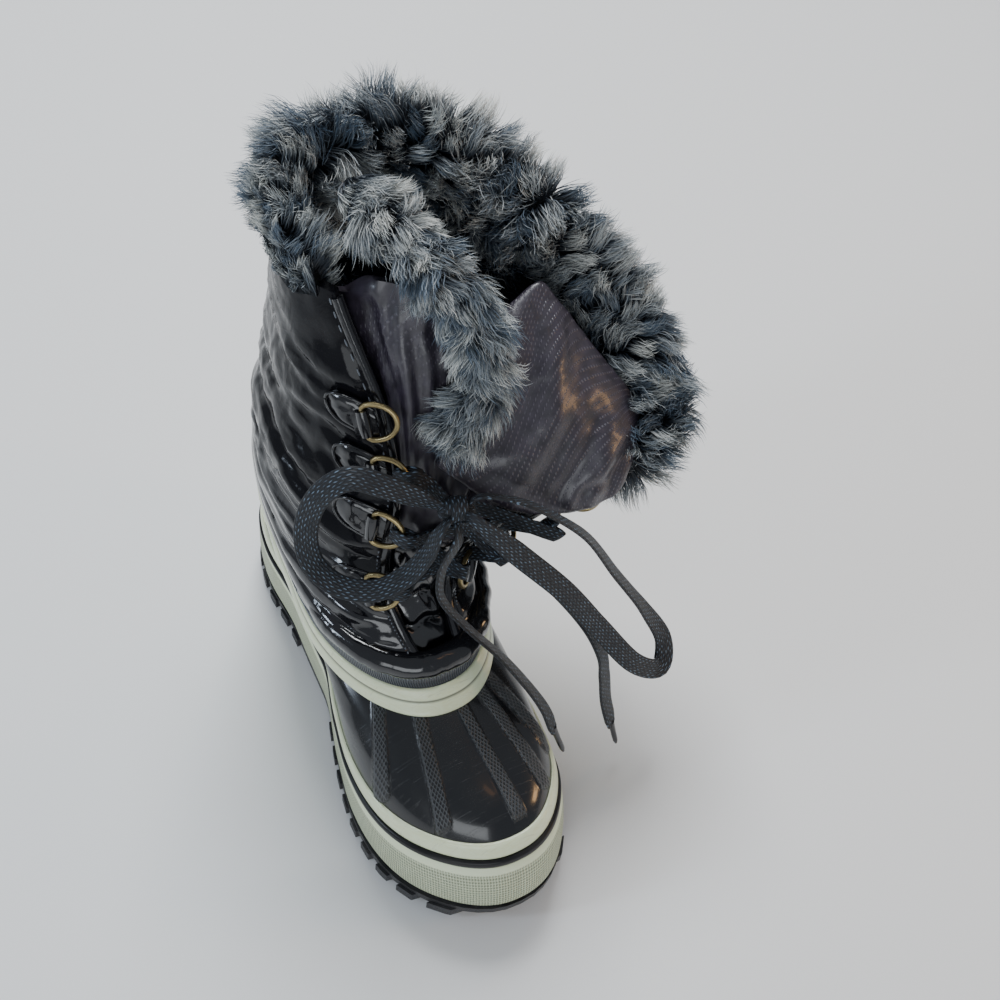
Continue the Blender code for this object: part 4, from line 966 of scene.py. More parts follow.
lobe_s, lobe_t = np.meshgrid(np.linspace(0.0, 1.0, 97), np.linspace(-0.10, 1.12, 68))
lobe_ends = [finer(np.array(curve, float), lobe_s[0] * 5)[None] for curve in (LOBE_RIM, LOBE_HEM)]
inner_t = np.clip(lobe_t, 0.0, 1.0)[..., None]
lobe_front = np.array((-0.38, -0.47, 0.79))
fill = np.sin(math.pi * inner_t) ** 0.75
fill = fill * np.sin(math.pi * np.clip(lobe_s * 0.92 + 0.08, 0, 1))[..., None] ** 0.5
lobe_grid = lobe_ends[0] * (1 - inner_t) + lobe_ends[1] * inner_t + lobe_front * LOBE_FILL * fill
past_rim = np.clip(-lobe_t / 0.10, 0, 1)[..., None]
past_hem = np.clip((lobe_t - 1) / 0.12, 0, 1)[..., None]
under = np.array((0.15, 0.35, 0.10))
lobe_grid = lobe_grid - lobe_front * 9.0 * past_rim**1.5 - (lobe_front * 10.0 - under * 12.0) * past_hem**1.4
lobe_out = -outward(lobe_grid, False)
soft = 1.0 * ripples(lobe_grid, 34.0, 33) + 0.3 * ripples(lobe_grid, 11.0, 34)
set_folds = creases(lobe_grid, LOBE_CREASES, lambda a, b: lobe_grid[int((b + 0.10) / 1.22 * 67), int(a * 96)])
quiet = np.sin(math.pi * np.clip(lobe_s, 0.02, 0.98)) ** 0.3
lobe_grid = lobe_grid + lobe_out * ((soft + set_folds) * quiet)[..., None]
lobe_lay = lay_of(lobe_s * 105.0, (1 - lobe_t) * 62.0, 1.0)
lobe_points, lobe_faces = slab(lobe_grid, lobe_grid - lobe_out * 2.0, False)
lobe_faces = lobe_faces[:, ::-1]

satin, tree, shader = new_material("satin_and_patent", Coat_Roughness=0.12, Specular_IOR_Level=0.7)
cloth = kept(tree, "satin")["Fac"]
lay = parts_of(tree, "lay")
height = use_group(tree, crinkle, 1.0)["Height"]
slanted = plus(lay[0], times(lay[1], -0.9))
woven = maths("SINE", times(slanted, 1.9))
picks = maths("SINE", times(plus(lay[1], lay[0]), 2.6))
ribbed = times(between(woven, 0.45, 0.95), between(picks, -0.4, 0.6))
cloud = noise(tree, 26.0, 4.0)
rib_area = times(between(cloud, 0.34, 0.5), times(cloth, lay[2]))
rib_mask = times(ribbed, rib_area)
dye = mixed(between(cloud, 0.3, 0.7), (0.015, 0.012, 0.019, 1), (0.034, 0.027, 0.042, 1))
lit = mixed(times(rib_mask, 0.26), dye, (0.22, 0.21, 0.25, 1))
feed(shader, Base_Color=mixed(cloth, PATENT, lit))
feed(shader, Roughness=between(cloth, 0.0, 1.0, 0.14, 0.40))
feed(shader, Coat_Weight=between(cloth, 0.0, 1.0, 0.8, 0.15))
wrinkle = times(height, between(cloth, 0.0, 1.0, 0.55, 0.22))
relief = plus(wrinkle, times(rib_mask, 0.4))
bumped(shader, relief, 0.5, 1.0)

points, faces = joined([slab(tongue_front, tongue_back, False), (lobe_points, lobe_faces)])
cloth_lay = np.concatenate([twice(tongue_lay), twice(lobe_lay)])
cloth_share = np.concatenate([twice(satin_share), np.ones(len(lobe_points))])
tongue = piece("bellows_tongue", points, faces, satin, "dark_satin", {"lay": cloth_lay, "satin": cloth_share})
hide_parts("tongue")

# ---- Fur ----
# A pile of long synthetic fur, dark at the root and grey at the tip, stands on a band round the collar,
# lines the shaft and runs along the tongue's top and outer edge. It lies in wavy locks.

CUFF_BODY = (
    (1.2, -31.0), (6.0, -28.0), (10.5, -17.0), (11.5, -3.0), (8.5, 8.0), (1.5, 12.5), (-6.5, 11.0),
    (-11.0, 4.0), (-12.0, -8.0), (-9.0, -18.0), (-7.2, -20.0), (-7.0, -6.0), (-6.8, 1.0), (1.0, 1.0)
)
CUFF_PILE_POINTS = 10
TONGUE_FUR_ROUTE = (
    (10.0, 1.0, 305.0), (17.0, -21.0, 301.0), (29.0, -46.0, 289.0), (40.5, -62.0, 266.0),
    (41.5, -67.5, 243.0), (31.5, -73.0, 225.0), (26.5, -77.0, 211.0)
)

fur_material, tree, shader = new_material("fur", Roughness=0.55)
part = parts_of(tree, "fur")
middle_tone = mixed(part[2], (0.026, 0.042, 0.066, 1), (0.075, 0.088, 0.100, 1))
tip_tone = mixed(part[1], (0.09, 0.135, 0.19, 1), (0.78, 0.79, 0.74, 1))
lower_half = mixed(between(part[0], 0.1, 0.5), (0.008, 0.010, 0.015, 1), middle_tone)
feed(shader, Base_Color=mixed(between(part[0], 0.42, 0.9), lower_half, tip_tone))

under_fur, tree, shader = new_material("under_fur", Roughness=0.9)
tangle = noise(tree, 420.0, 5.0, 2.0)
feed(shader, Base_Color=mixed(between(tangle, 0.4, 0.7), (0.006, 0.008, 0.011, 1), (0.03, 0.042, 0.058, 1)))
bumped(shader, tangle, 1.0, 2.0)


def scattered(grid, normals, count, draw, weight=None):
    """Roots spread evenly by area over an open grid, with the grid's normals there."""
    side_a = grid[1:, :-1] - grid[:-1, :-1]
    side_b = grid[:-1, 1:] - grid[:-1, :-1]
    area = np.linalg.norm(np.cross(side_a, side_b), axis=-1)
    if weight is not None:
        area = area * weight[:-1, :-1]
    chance = np.cumsum(area.ravel())
    cell = np.searchsorted(chance, draw.uniform(0, chance[-1], count))
    i, j = np.unravel_index(np.clip(cell, 0, area.size - 1), area.shape)
    a, b = draw.uniform(size=(2, count, 1))
    spots = []
    for table in (grid, normals):
        low = table[i, j] * (1 - b) + table[i, j + 1] * b
        high = table[i + 1, j] * (1 - b) + table[i + 1, j + 1] * b
        spots.append(low * (1 - a) + high * a)
    return spots[0], unit(spots[1])


STRAND_STATIONS = (0.0, 0.30, 0.58, 0.82)


def pile(name, roots, normals, comb, length, draw, tone=0.5, width=0.50, lock=80):
    """Strands as tapering ribbons. comb lays them over, and lock of them at a time draw together."""
    count = len(roots)
    heads = draw.choice(count, max(8, int(count / lock)), replace=False)
    tree = KDTree(len(heads))
    for number, head in enumerate(heads):
        tree.insert(roots[head], number)
    tree.balance()
    member = np.array([tree.find(place)[1] for place in roots])
    locks = roots[heads]
    lock_comb = comb[heads] + 0.24 * draw.normal(size=(len(heads), 3))
    lock_tone = np.clip(draw.normal(tone, 0.32, len(heads)), 0, 1)
    lock_length = draw.uniform(0.75, 1.2, len(heads))
    lock_normal = normals[heads]
    phase = draw.uniform(0, 2 * math.pi, len(heads))
    start = unit(normals + comb * 0.30 + 0.14 * draw.normal(size=(count, 3)))
    finish = unit(lock_normal[member] * 0.28 + lock_comb[member] + 0.16 * draw.normal(size=(count, 3)))
    reach = (length * lock_length[member] * draw.uniform(0.62, 1.12, count))[:, None]
    sway = unit(np.cross(start, lock_comb[member]))
    pull = locks[member] - roots
    blade = unit(draw.normal(size=(count, 3)))
    rows = []
    for t in (*STRAND_STATIONS, 1.0):
        middle = roots + reach * (start * (t - 0.5 * t * t) + finish * 0.5 * t * t) * 1.05
        middle = middle + sway * (2.8 * t * np.sin(phase[member] + 5.0 * t))[:, None]
        rows.append(middle + pull * 0.58 * t**1.4)
    body = []
    for number, t in enumerate(STRAND_STATIONS):
        flat = unit(np.cross(rows[number + 1] - rows[number], blade)) * width * 0.5 * (1 - 0.8 * t * t)
        body += [rows[number] - flat, rows[number] + flat]
    body.append(rows[-1])
    body = np.stack(body, axis=1)
    base = np.arange(count)[:, None] * 9
    quads = [base + np.array([[2 * k, 2 * k + 1, 2 * k + 3, 2 * k + 2]]) for k in range(3)]
    tips = base + np.array([[6, 7, 8]])
    loops = np.concatenate([*quads, tips], axis=1)
    mesh = bpy.data.meshes.new(name)
    mesh.vertices.add(count * 9)
    mesh.vertices.foreach_set("co", (body * MM).astype(np.float32).ravel())
    mesh.loops.add(loops.size)
    mesh.loops.foreach_set("vertex_index", loops.astype(np.int32).ravel())
    starts = np.arange(count)[:, None] * 15 + np.array([[0, 4, 8, 12]])
    mesh.polygons.add(count * 4)
    mesh.polygons.foreach_set("loop_start", starts.astype(np.int32).ravel())
    mesh.update(calc_edges=True)
    height = np.tile(np.repeat((*STRAND_STATIONS, 1.0), (2, 2, 2, 2, 1)), (count, 1))
    shade = np.repeat(np.clip(lock_tone[member] + 0.18 * draw.normal(size=count), 0, 1)[:, None], 9, axis=1)
    warm = np.repeat(draw.uniform(size=count)[:, None], 9, axis=1)
    values = np.stack([height, shade, warm], axis=-1)
    kept_values = mesh.attributes.new("fur", "FLOAT_VECTOR", "POINT").data
    kept_values.foreach_set("vector", values.astype(np.float32).ravel())
    mesh.materials.append(fur_material)
    mesh.shade_smooth()
    made = in_scene(name, mesh)
    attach(made, "root")


draw = np.random.default_rng(5)
cuff_columns = 161
cuff_turns = np.linspace(facing_edges(COLLAR)[0] - 2.0, facing_edges(COLLAR)[1] - 12.0, cuff_columns)
cuff_edge, cuff_out = upper_face(COLLAR, cuff_turns)
cuff_rise = unit(cuff_edge - upper_face(COLLAR - 0.1, cuff_turns)[0])
reach_share = 1.0 - 0.85 * ease(190.0, 250.0, cuff_turns)
column = np.arange(cuff_columns)
end_share = 0.45 + 0.55 * ease(0.0, 14.0, np.minimum(column, cuff_columns - 1 - column))
cuff_grid = np.empty((len(CUFF_BODY), cuff_columns, 3))
for number, (reach, rise) in enumerate(CUFF_BODY):
    size = end_share if number < CUFF_PILE_POINTS else np.ones(cuff_columns)
    reach = reach * np.where(reach > 1.5, reach_share, 1.0) * size * 0.85
    hang = size * np.where(rise < 0 and number < 5, 1 - 0.6 * ease(195.0, 255.0, cuff_turns), 1.0)
    cuff_grid[number] = cuff_edge + cuff_out * reach[:, None] + cuff_rise * (rise * hang)[:, None]
ids = np.arange(len(CUFF_BODY) * cuff_columns).reshape(len(CUFF_BODY), cuff_columns)
wrapped = np.concatenate([ids, ids[:1]])
cuff_faces = [*skin_of(wrapped[:, :-1], wrapped[:, 1:]), ids[:, 0], ids[::-1, -1]]
cuff_core = piece("cuff_backing", cuff_grid.reshape(-1, 3), cuff_faces, under_fur, "charcoal_fur")
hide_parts("fur_cuff")


cuff_skin = finer(cuff_grid[:CUFF_PILE_POINTS], np.linspace(0, CUFF_PILE_POINTS - 1, 28))
cuff_normals = outward(cuff_skin, False)
outer, inner = slice(0, 17), slice(16, 28)
down_way = np.array((0.0, 0.0, -1.0))
collar_middle = cuff_edge.mean(axis=0)
lobe_middle = np.array((88.0, -62.0, 214.0))


def flowing(roots, seed, spread, outward_share, downward_share, lobe_share, swirl_share):
    """The way the pile lies: out from the collar's middle, down, clear of the tongue's lobe, and waving."""
    away = roots - collar_middle
    away[:, 2] = 0.0
    clear_of_lobe = roots - lobe_middle
    near_lobe = np.exp(-((np.linalg.norm(clear_of_lobe, axis=1) / 55.0) ** 4))[:, None]
    swirl = np.stack([ripples(roots, spread, seed + k) for k in range(3)], axis=-1)
    comb = unit(away) * outward_share + down_way * downward_share + swirl * swirl_share
    return comb + unit(clear_of_lobe) * near_lobe * lobe_share


roots, normals = scattered(cuff_skin[outer], cuff_normals[outer], 27000, draw)
round_collar = np.degrees(np.arctan2(roots[:, 0] - collar_middle[0], collar_middle[1] - roots[:, 1])) % 360
medial_end = ease(215.0, 265.0, round_collar)
held = medial_end[:, None]
comb = flowing(roots, 41, 75.0, 0.85, 0.35, 0.9, 0.50)
comb = comb - held * (1.5 * down_way + 0.9 * unit(roots - collar_middle))
outer_length = 19.5 - 11.5 * medial_end - 4.0 * ease(116.0, 148.0, roots[:, 0])
raised = unit(normals * (1 - 0.7 * held) - down_way * held)
pile("cuff_fur_outer", roots, raised, comb, outer_length, draw)
roots, normals = scattered(cuff_skin[inner], cuff_normals[inner], 18000, draw)
pile("cuff_fur_inner", roots, normals, flowing(roots, 44, 50.0, 0.15, -0.35, 1.1, 0.7), 17.0, draw, tone=0.4)

lining_levels = np.linspace(6.6, 9.75, 26)
lining_inset = -UPPER_WALL - 0.8
lining_grid = upper_rows(lining_levels, round_upper(81), lining_inset)[0]
lining_normals = -outward(lining_grid, False)
lining = slab(lining_grid, lining_grid + lining_normals * 1.5, False)
piece("lining_backing", *lining, under_fur, "charcoal_fur")
roots, normals = scattered(lining_grid, lining_normals, 8000, draw)
pile("lining_fur", roots, normals, flowing(roots, 47, 40.0, -0.1, -0.5, 0.0, 0.6), 14.0, draw, tone=0.25)

route = np.array(TONGUE_FUR_ROUTE)
steps = np.linspace(0, len(route) - 1, 41)
fur_line = finer(route, steps)
ends = np.minimum(np.arange(41), 40 - np.arange(41))
fur_radius = 4.8 * (0.45 + 0.55 * ease(0, 6, ends))
run = unit(np.gradient(fur_line, axis=0))
aside = unit(np.cross(run, np.array((0.0, 1.0, 0.0))))
third = np.cross(run, aside)
turn = np.linspace(0.0, 2 * math.pi, 17)
roll_normals = np.cos(turn)[None, :, None] * aside[:, None] + np.sin(turn)[None, :, None] * third[:, None]
fur_rows = fur_line[:, None] + fur_radius[:, None, None] * roll_normals
fur_roll = piece("tongue_fur_backing", *tube(fur_line, fur_radius, 16), under_fur, "charcoal_fur")
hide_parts("tongue_fur")
roots, normals = scattered(fur_rows, roll_normals, 23000, draw)
line_tree = KDTree(len(fur_line))
for number, place in enumerate(fur_line):
    line_tree.insert(place, number)
line_tree.balance()
along_roll = run[[line_tree.find(place)[1] for place in roots]]
swirl = np.stack([ripples(roots, 38.0, seed) for seed in (50, 51, 52)], axis=-1)
comb = 0.7 * along_roll + 0.75 * swirl + 0.15 * down_way
pile("tongue_fur_pile", roots, normals, comb, 16.5, draw, tone=0.42)

# ---- Tabs and D-rings ----
# Four brass D-rings a side, each held by a folded patent tab whose rounded end is sewn to the facing.

RING_LEVELS = {"medial": (6.25, 7.75, 8.5, 9.05), "lateral": (6.1, 7.6, 8.48, 9.2)}
TAB_FROM = 3.0
TAB_TO = 27.0
TAB_HALF = 8.5
TAB_THICK = 2.4
RING_BAR = 17.5
RING_DEPTH = 15.0
RING_STAND = 5.2
RING_WIRE = 1.3
SLACK_STAND = 0.6
SLACK_RING_STAND = 0.2
TAB_CLEAR = 0.7

brass, tree, shader = new_material("aged_brass", Metallic=1.0)
stain = noise(tree, 240.0, 4.0)
patina = mixed(between(stain, 0.35, 0.7), (0.50, 0.40, 0.20, 1), (0.16, 0.12, 0.06, 1))
feed(shader, Base_Color=patina)
feed(shader, Roughness=between(stain, 0.3, 0.7, 0.22, 0.45))
bumped(shader, stain, 0.2, 0.2)


def facing_turn(level, side, away):
    """The angle that lies away degrees behind the facing's edge, on the medial or lateral side."""
    lateral, medial = facing_edges(level)
    return lateral + away if side == "lateral" else medial - away


def ring_frame(level, side):
    """Centre of the ring's bar, the way up the facing, the way over the opening and the way out."""
    stand = RING_STAND + (SLACK_STAND + SLACK_RING_STAND if side == "lateral" else 0.0)
    bar, out = (found[0] for found in upper_face(level, facing_turn(level, side, 8.0), stand))
    step = [upper_face(level + d, facing_turn(level + d, side, 8.0))[0][0] for d in (-0.1, 0.1)]
    up = unit(step[1] - step[0])
    over = np.cross(up, out)
    if side == "lateral":
        over = -over
    over = over * math.cos(math.radians(8.0)) + out * math.sin(math.radians(8.0))
    return bar, up, over, out, np.linalg.norm(step[1] - step[0]) / 0.2


for side in ("medial", "lateral"):
    for number, level in enumerate(RING_LEVELS[side], start=1):
        bar, up, over, out, per_level = ring_frame(level, side)
        half = RING_BAR / 2
        arc = np.linspace(0.0, math.pi, 27)
        flat = [(x, 0.0) for x in np.linspace(-half + 1.2, half - 1.2, 7)]
        flat += [(half * math.cos(a), 2.0 + (RING_DEPTH - 2.0) * math.sin(a) ** 0.8) for a in arc]
        flat = np.array(flat)
        flat = (np.roll(flat, 1, axis=0) + 2 * flat + np.roll(flat, -1, axis=0)) / 4
        loop = bar + flat[:, :1] * up + flat[:, 1:] * over
        run = unit(np.roll(loop, -1, axis=0) - np.roll(loop, 1, axis=0))
        aside = np.cross(run, out)
        turn = np.arange(12) * 2 * math.pi / 12
        wire = loop[:, None] + RING_WIRE * (
            np.cos(turn)[None, :, None] * unit(aside)[:, None] + np.sin(turn)[None, :, None] * out
        )
        ids = np.arange(len(loop) * 12).reshape(len(loop), 12)
        ids = np.concatenate([ids, ids[:1]]).T[[*range(12), 0]]
        skin = skin_of(ids[:, :-1], ids[:, 1:])
        ring = piece(f"d_ring_{side}_{number}", wire.reshape(-1, 3), skin, brass, "aged_brass")
        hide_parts(f"ring_{side}_{number}")

        heights = np.linspace(-1.0, 1.0, 19)
        rows, outs = [], []
        stand = TAB_CLEAR + TAB_THICK + (SLACK_STAND if side == "lateral" else 0.0)
        for height in heights:
            bow = math.sqrt(max(0.0, 1 - abs(height) ** 2.4))
            reach = TAB_FROM + (TAB_TO - TAB_FROM) * (0.30 + 0.70 * bow)
            at = level + height * TAB_HALF / per_level
            turns = [facing_turn(at, side, away) for away in np.linspace(TAB_FROM, reach, 23)]
            place, normal = upper_face(at, turns, stand)
            rows.append(place)
            outs.append(normal)
        rows, outs = np.array(rows), np.array(outs)
        inward = np.linspace(0.0, 1.0, 23)[None]
        edge = np.minimum(1 - np.abs(heights)[:, None], 1 - inward)
        pillow = 1.3 * ease(0.0, 0.35, edge) + 0.25 * ripples(rows, 7.0, 60 + number)
        body = slab(rows + outs * pillow[..., None], rows - outs * TAB_THICK, False)
        raised = rows + 0.4 * outs
        cord_edge = tube(np.concatenate([raised[0], raised[1:, -1], raised[-1, -2::-1]]), 0.75, 8)
        fold_turn = np.linspace(math.radians(200), math.radians(-95), 15)
        fold_path = [bar + over * -5.0 - out * 1.2]
        fold_path += [bar + over * 2.4 * math.cos(a) + out * 2.4 * math.sin(a) for a in fold_turn]
        fold_path = np.array(fold_path)
        fold_run = unit(np.gradient(fold_path, axis=0))
        fold_out = unit(np.cross(fold_run, up if side == "medial" else -up))
        if np.dot(fold_out[8], out) < 0:
            fold_out = -fold_out
        widths = np.linspace(-6.2, 6.2, 9)
        sag = 0.4 * (1 - (widths / 6.2) ** 2)
        face = fold_path[:, None] + widths[None, :, None] * up
        raised_face = face + fold_out[:, None] * (0.5 + sag)[None, :, None]
        strap = slab(raised_face, face - fold_out[:, None] * 0.6, False)
        tab = piece(f"patent_tab_{side}_{number}", *joined([body, cord_edge, strap]), patent, "black_patent")
        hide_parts(f"tab_{side}_{number}")

# ---- Lace ----
# One flat woven lace, black with slate flecks, is crossed over the tongue through three pairs of rings
# and tied in a bow. Its ends hang over the toe, with a dark tip pressed on each.

LACE_HALF_WIDTH = 5.4
LACE_HALF_THICK = 1.05
KNOT = np.array((15.9, -99.9, 197.7))
KNOT_RADIUS = 6.8
LOOP_CLEAR = 1.4
END_CLEAR = 0.9
LACE_OUT = np.array((0.0, -0.8, 0.6))
LACE_TO_KNOT = {"medial": (11.0, -86.0, 200.0), "lateral": (30.0, -97.0, 186.0)}
LACE_ROUTES = {
    "lace_loop_medial": (
        (5.1, -94.5, 203.0), (-12.2, -88.6, 217.4), (-27.0, -81.9, 224.1), (-39.5, -78.4, 213.1),
        (-46.0, -78.9, 193.1), (-45.8, -84.4, 173.1), (-37.5, -93.9, 162.1), (-23.8, -101.9, 160.1),
        (-10.5, -104.9, 167.1), (-1.2, -107.1, 182.4), (4.9, -106.6, 197.7)
    ),
    "lace_loop_lateral": (
        (28.0, -101.0, 202.7), (41.8, -106.6, 198.4), (55.0, -111.7, 188.1), (76.5, -118.2, 162.1),
        (94.0, -126.2, 128.1), (110.7, -135.8, 96.1), (120.5, -144.8, 73.1), (113.9, -154.9, 65.1),
        (96.4, -153.1, 81.1), (78.0, -141.4, 112.1), (59.8, -131.9, 145.1), (38.8, -121.6, 175.4),
        (21.0, -111.3, 199.6)
    ),
    "lace_end_front": (
        (11.6, -110.9, 191.5), (4.8, -111.6, 171.4), (5.1, -113.9, 150.1), (14.0, -122.9, 132.1),
        (27.0, -135.9, 114.1), (36.8, -146.0, 96.1), (43.8, -154.9, 80.1), (47.3, -162.4, 66.1)
    ),
    "lace_end_side": (
        (23.5, -106.0, 187.1), (42.0, -114.1, 162.7), (61.4, -123.9, 132.5), (75.8, -134.6, 105.4),
        (83.0, -142.9, 84.1), (85.5, -146.9, 65.1), (87.5, -151.4, 43.1), (90.0, -157.9, 25.1)
    ),
}
# How far each stretch is turned flat to the front (1) or edge on (0), at even steps from the knot.
LACE_TURNS = {
    "lace_loop_medial": (0.3, 0.75, 0.9, 0.9, 0.9, 0.85, 0.8, 0.75, 0.5, 0.3),
    "lace_loop_lateral": (0.15, 0.15, 0.2, 0.25, 0.3, 0.6, 0.9, 1.0, 1.0, 1.0, 0.9, 0.5),
    "lace_end_front": (0.25, 0.15, 0.12, 0.12, 0.15, 0.2, 0.3),
    "lace_end_side": (0.3, 0.35, 0.35, 0.35, 0.35, 0.4, 0.4)
}

braid, tree, shader = new_material("braid", Roughness=0.6, Sheen_Weight=0.04)
lay = parts_of(tree, "lay")
row_number = times(lay[1], 0.80)
row_wave = maths("ABSOLUTE", maths("SINE", times(row_number, math.pi)))
row_parity = maths("FLOORED_MODULO", maths("FLOOR", row_number), 2.0)
slope = maths("SUBTRACT", times(row_parity, 2.0), 1.0)
skew = times(times(maths("FRACT", row_number), slope), 0.55)
dash_phase = plus(times(lay[0], 0.27), skew)
dash_wave = maths("ABSOLUTE", maths("SINE", times(dash_phase, math.pi)))
stitch = times(row_wave, dash_wave)
flecks = between(stitch, 0.68, 0.92)
# The slate flecks are the braid's own yarn; the noise brightens them in patches, a painted glint.
patch = noise(tree, 330.0, 2.0, Vector=add(tree, "TexCoord").outputs["Object"])
flecks_and_glints = times(flecks, between(patch, 0.42, 0.60, 0.15, 1.0))
feed(shader, Base_Color=mixed(flecks_and_glints, (0.004, 0.0055, 0.009, 1), (0.14, 0.20, 0.27, 1)))
bumped(shader, stitch, 0.9, 0.45)


plastic, tree, shader = new_material("tip_plastic", Coat_Weight=0.4, Coat_Roughness=0.15)
streaks = noise(tree, 500.0)
feed(shader, Base_Color=mixed(streaks, (0.010, 0.010, 0.012, 1), (0.045, 0.045, 0.05, 1)))
feed(shader, Roughness=between(streaks, 0.3, 0.7, 0.22, 0.4))


def from_knot(towards, clear):
    way = np.array(towards) - KNOT
    return KNOT + way / np.linalg.norm(way) * (KNOT_RADIUS + clear)


LACE_SIDES = 14


def flat_lace(line, broad, half_width, half_thick):
    """A flat braid along a line: points, faces and its lay, along and across. broad is its wide way."""
    run = unit(np.gradient(line, axis=0))
    broad = unit(broad - run * np.sum(broad * run, axis=1, keepdims=True))
    thin = np.cross(run, broad)
    turn = np.arange(LACE_SIDES) * 2 * math.pi / LACE_SIDES
    wide = np.sign(np.cos(turn)) * np.abs(np.cos(turn)) ** 0.75
    deep = np.sign(np.sin(turn)) * np.abs(np.sin(turn)) ** 0.6
    half_width = np.broadcast_to(half_width, len(line))
    body = line[:, None] + broad[:, None] * (wide[None] * half_width[:, None])[..., None]
    body = body + thin[:, None] * (deep * half_thick)[None, :, None]
    ids = np.arange(len(line) * LACE_SIDES).reshape(len(line), LACE_SIDES)
    along = np.concatenate([[0.0], np.cumsum(np.linalg.norm(np.diff(line, axis=0), axis=1))])
    lay = lay_of(along[:, None], wide[None] * half_width[:, None], 0.0)
    return body.reshape(-1, 3), swept(ids), lay.reshape(-1, 3)


def viewed(line, flatness):
    """The lace's wide way along a line, flat to the front where flatness is 1 and edge on where it is 0."""
    run = unit(np.gradient(line, axis=0))
    front = np.array(tuple(back))
    level_way = unit(np.cross(run, front))
    edge_way = unit(np.cross(level_way, run))
    share = curve_through(np.linspace(0, 1, len(flatness)), flatness, np.linspace(0, 1, len(line)))
    angle = (1 - share) * math.pi / 2
    return level_way * np.cos(angle)[:, None] + edge_way * np.sin(angle)[:, None]


for name, route in LACE_ROUTES.items():
    looped = "loop" in name
    clear = LOOP_CLEAR if looped else END_CLEAR
    whole = [from_knot(route[0], clear - 3.0), *route]
    if looped:
        whole.append(from_knot(route[-1], clear - 3.0))
    line = smooth_route(whole, 2.2)
    steps = np.linspace(0.0, 1.0, len(line))
    bunched = ease(0.0, 0.10, steps)
    bunched = bunched * (ease(1.0, 0.90, steps) if looped else 1 - 0.62 * ease(0.965, 1.0, steps))
    half_width = 2.9 + (LACE_HALF_WIDTH - 2.9) * bunched
    points, faces, lace_lay = flat_lace(line, viewed(line, LACE_TURNS[name]), half_width, LACE_HALF_THICK)
    stretch = piece(name.replace("lace_", "bow_"), points, faces, braid, "black_cord", {"lay": lace_lay})
    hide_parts(name)
    if not looped:
        way = unit(line[-1] - line[-3])
        tip_name = name.replace("lace_end", "aglet")
        spots = line[-1] + way * np.linspace(-1.5, 16.0, 9)[:, None]
        radii = np.array((1.9, 1.75, 1.6, 1.55, 1.5, 1.5, 1.45, 1.35, 0.7))
        tip = piece(f"tip_{tip_name}", *tube(spots, radii, 12), plastic, "black_patent")
        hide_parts(tip_name)
    length = float(np.linalg.norm(np.diff(line, axis=0), axis=1).sum()) * MM

sheets = []
for grid in (tongue_front, upper_front):
    ids = np.arange(grid.shape[0] * grid.shape[1]).reshape(grid.shape[:2])
    sheets.append((grid.reshape(-1, 3), skin_of(ids[:, :-1], ids[:, 1:])))
cover_points, cover_faces = joined(sheets)
cover = BVHTree.FromPolygons(cover_points.tolist(), cover_faces)


def laid_over(point, lift):
    """The point, set lift millimetres out from the tongue or facing beneath it."""
    out = Vector(LACE_OUT)
    place = cover.ray_cast(Vector(point) + out * 60.0, -out, 120.0)[0]
    if place is None:
        return np.array(point)
    return np.array(place) + LACE_OUT * lift


RING_HOLD = 3.4


def at_ring(side, number, above):
    """The lace's end at a ring: from the hole, over or under the round wire, and clear of it."""
    bar, up, over, out, _ = ring_frame(RING_LEVELS[side][number], side)
    lift = (RING_WIRE + LACE_HALF_THICK + 0.35) * (1 if above else -1)
    return [
        bar + over * RING_DEPTH * 0.62,
        bar + over * RING_DEPTH * 0.84 + out * lift * 0.72,
        bar + over * RING_DEPTH + out * lift,
        bar + over * (RING_DEPTH + 4.5) + out * lift * 0.6,
    ], up


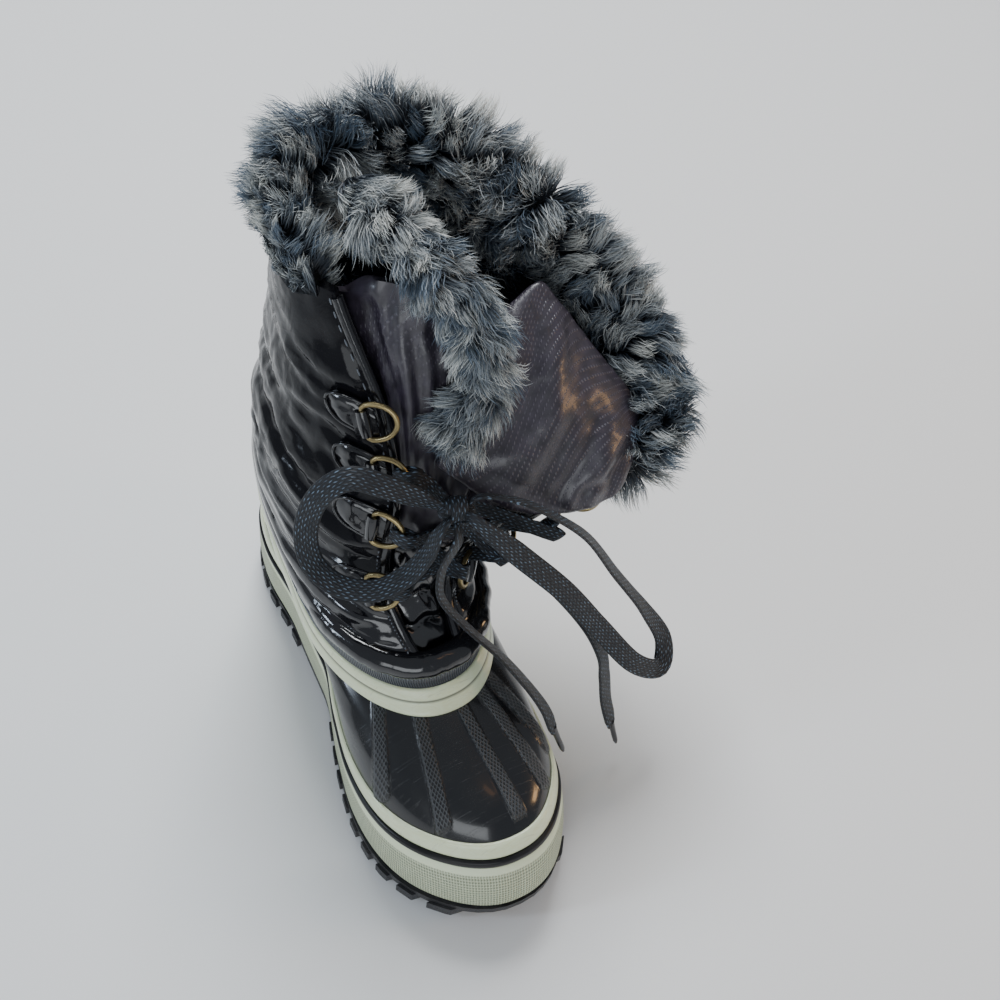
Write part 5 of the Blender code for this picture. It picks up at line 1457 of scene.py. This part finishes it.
def crossing(start, finish, lift):
    (first, first_up), (second, second_up) = start, finish
    between_points = [laid_over(first[-1] * (1 - t) + second[-1] * t, lift) for t in (0.22, 0.5, 0.78)]
    line = smooth_route([*first, *between_points, *second[::-1]], 2.0)
    share = np.linspace(0.0, 1.0, len(line))[:, None]
    return line, first_up * (1 - share) + second_up * share


stretches = [crossing(at_ring("medial", 0, False), at_ring("lateral", 0, False), 2.2)]
for low in range(2):
    for side, other, lift in (("medial", "lateral", 2.4), ("lateral", "medial", 4.8)):
        stretches.append(crossing(at_ring(side, low, True), at_ring(other, low + 1, False), lift))
for side, near in LACE_TO_KNOT.items():
    points, up = at_ring(side, 2, True)
    line = smooth_route([*points, np.array(near), from_knot(near, -2.0)], 2.0)
    stretches.append((line, np.repeat(up[None], len(line), axis=0)))
laces = [flat_lace(*stretch, RING_HOLD, LACE_HALF_THICK) for stretch in stretches]
lacing_lay = np.concatenate([lace[2] for lace in laces])
body = joined([lace[:2] for lace in laces])
lacing = piece("lace_through_rings", *body, braid, "black_cord", {"lay": lacing_lay})
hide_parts("lace_crossings")

knot_turns = np.linspace(0.0, 2 * math.pi * 1.9, 80)
across_way = unit(np.array((0.96, -0.25, -0.12)))
out_way = unit(LACE_OUT - across_way * np.dot(LACE_OUT, across_way))
up_way = np.cross(out_way, across_way)
wrap_radius = 5.0 + 0.35 * knot_turns / math.pi
round_way = np.cos(knot_turns)[:, None] * out_way + 0.92 * np.sin(knot_turns)[:, None] * up_way
wrap = KNOT + wrap_radius[:, None] * round_way + across_way * np.linspace(-2.6, 2.6, 80)[:, None]
*wrap_body, wrap_lay = flat_lace(wrap, np.repeat(across_way[None], 80, axis=0), 3.8, LACE_HALF_THICK)
core_line = KNOT + across_way * np.linspace(-8.5, 8.5, 17)[:, None]
core_radius = 4.6 * np.sqrt(np.clip(1 - np.linspace(-1, 1, 17) ** 4, 0.05, 1))
core_lay = lay_of(np.linspace(0, 17, 17)[:, None], np.arange(14)[None] * 1.9, 0.0).reshape(-1, 3)
body = joined([wrap_body, tube(core_line, core_radius, 14)])
knot = piece("bow_knot", *body, braid, "black_cord", {"lay": np.concatenate([wrap_lay, core_lay])})
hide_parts("lace_knot")

# ---- Sizes of the boot's pieces ----

low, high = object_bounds()
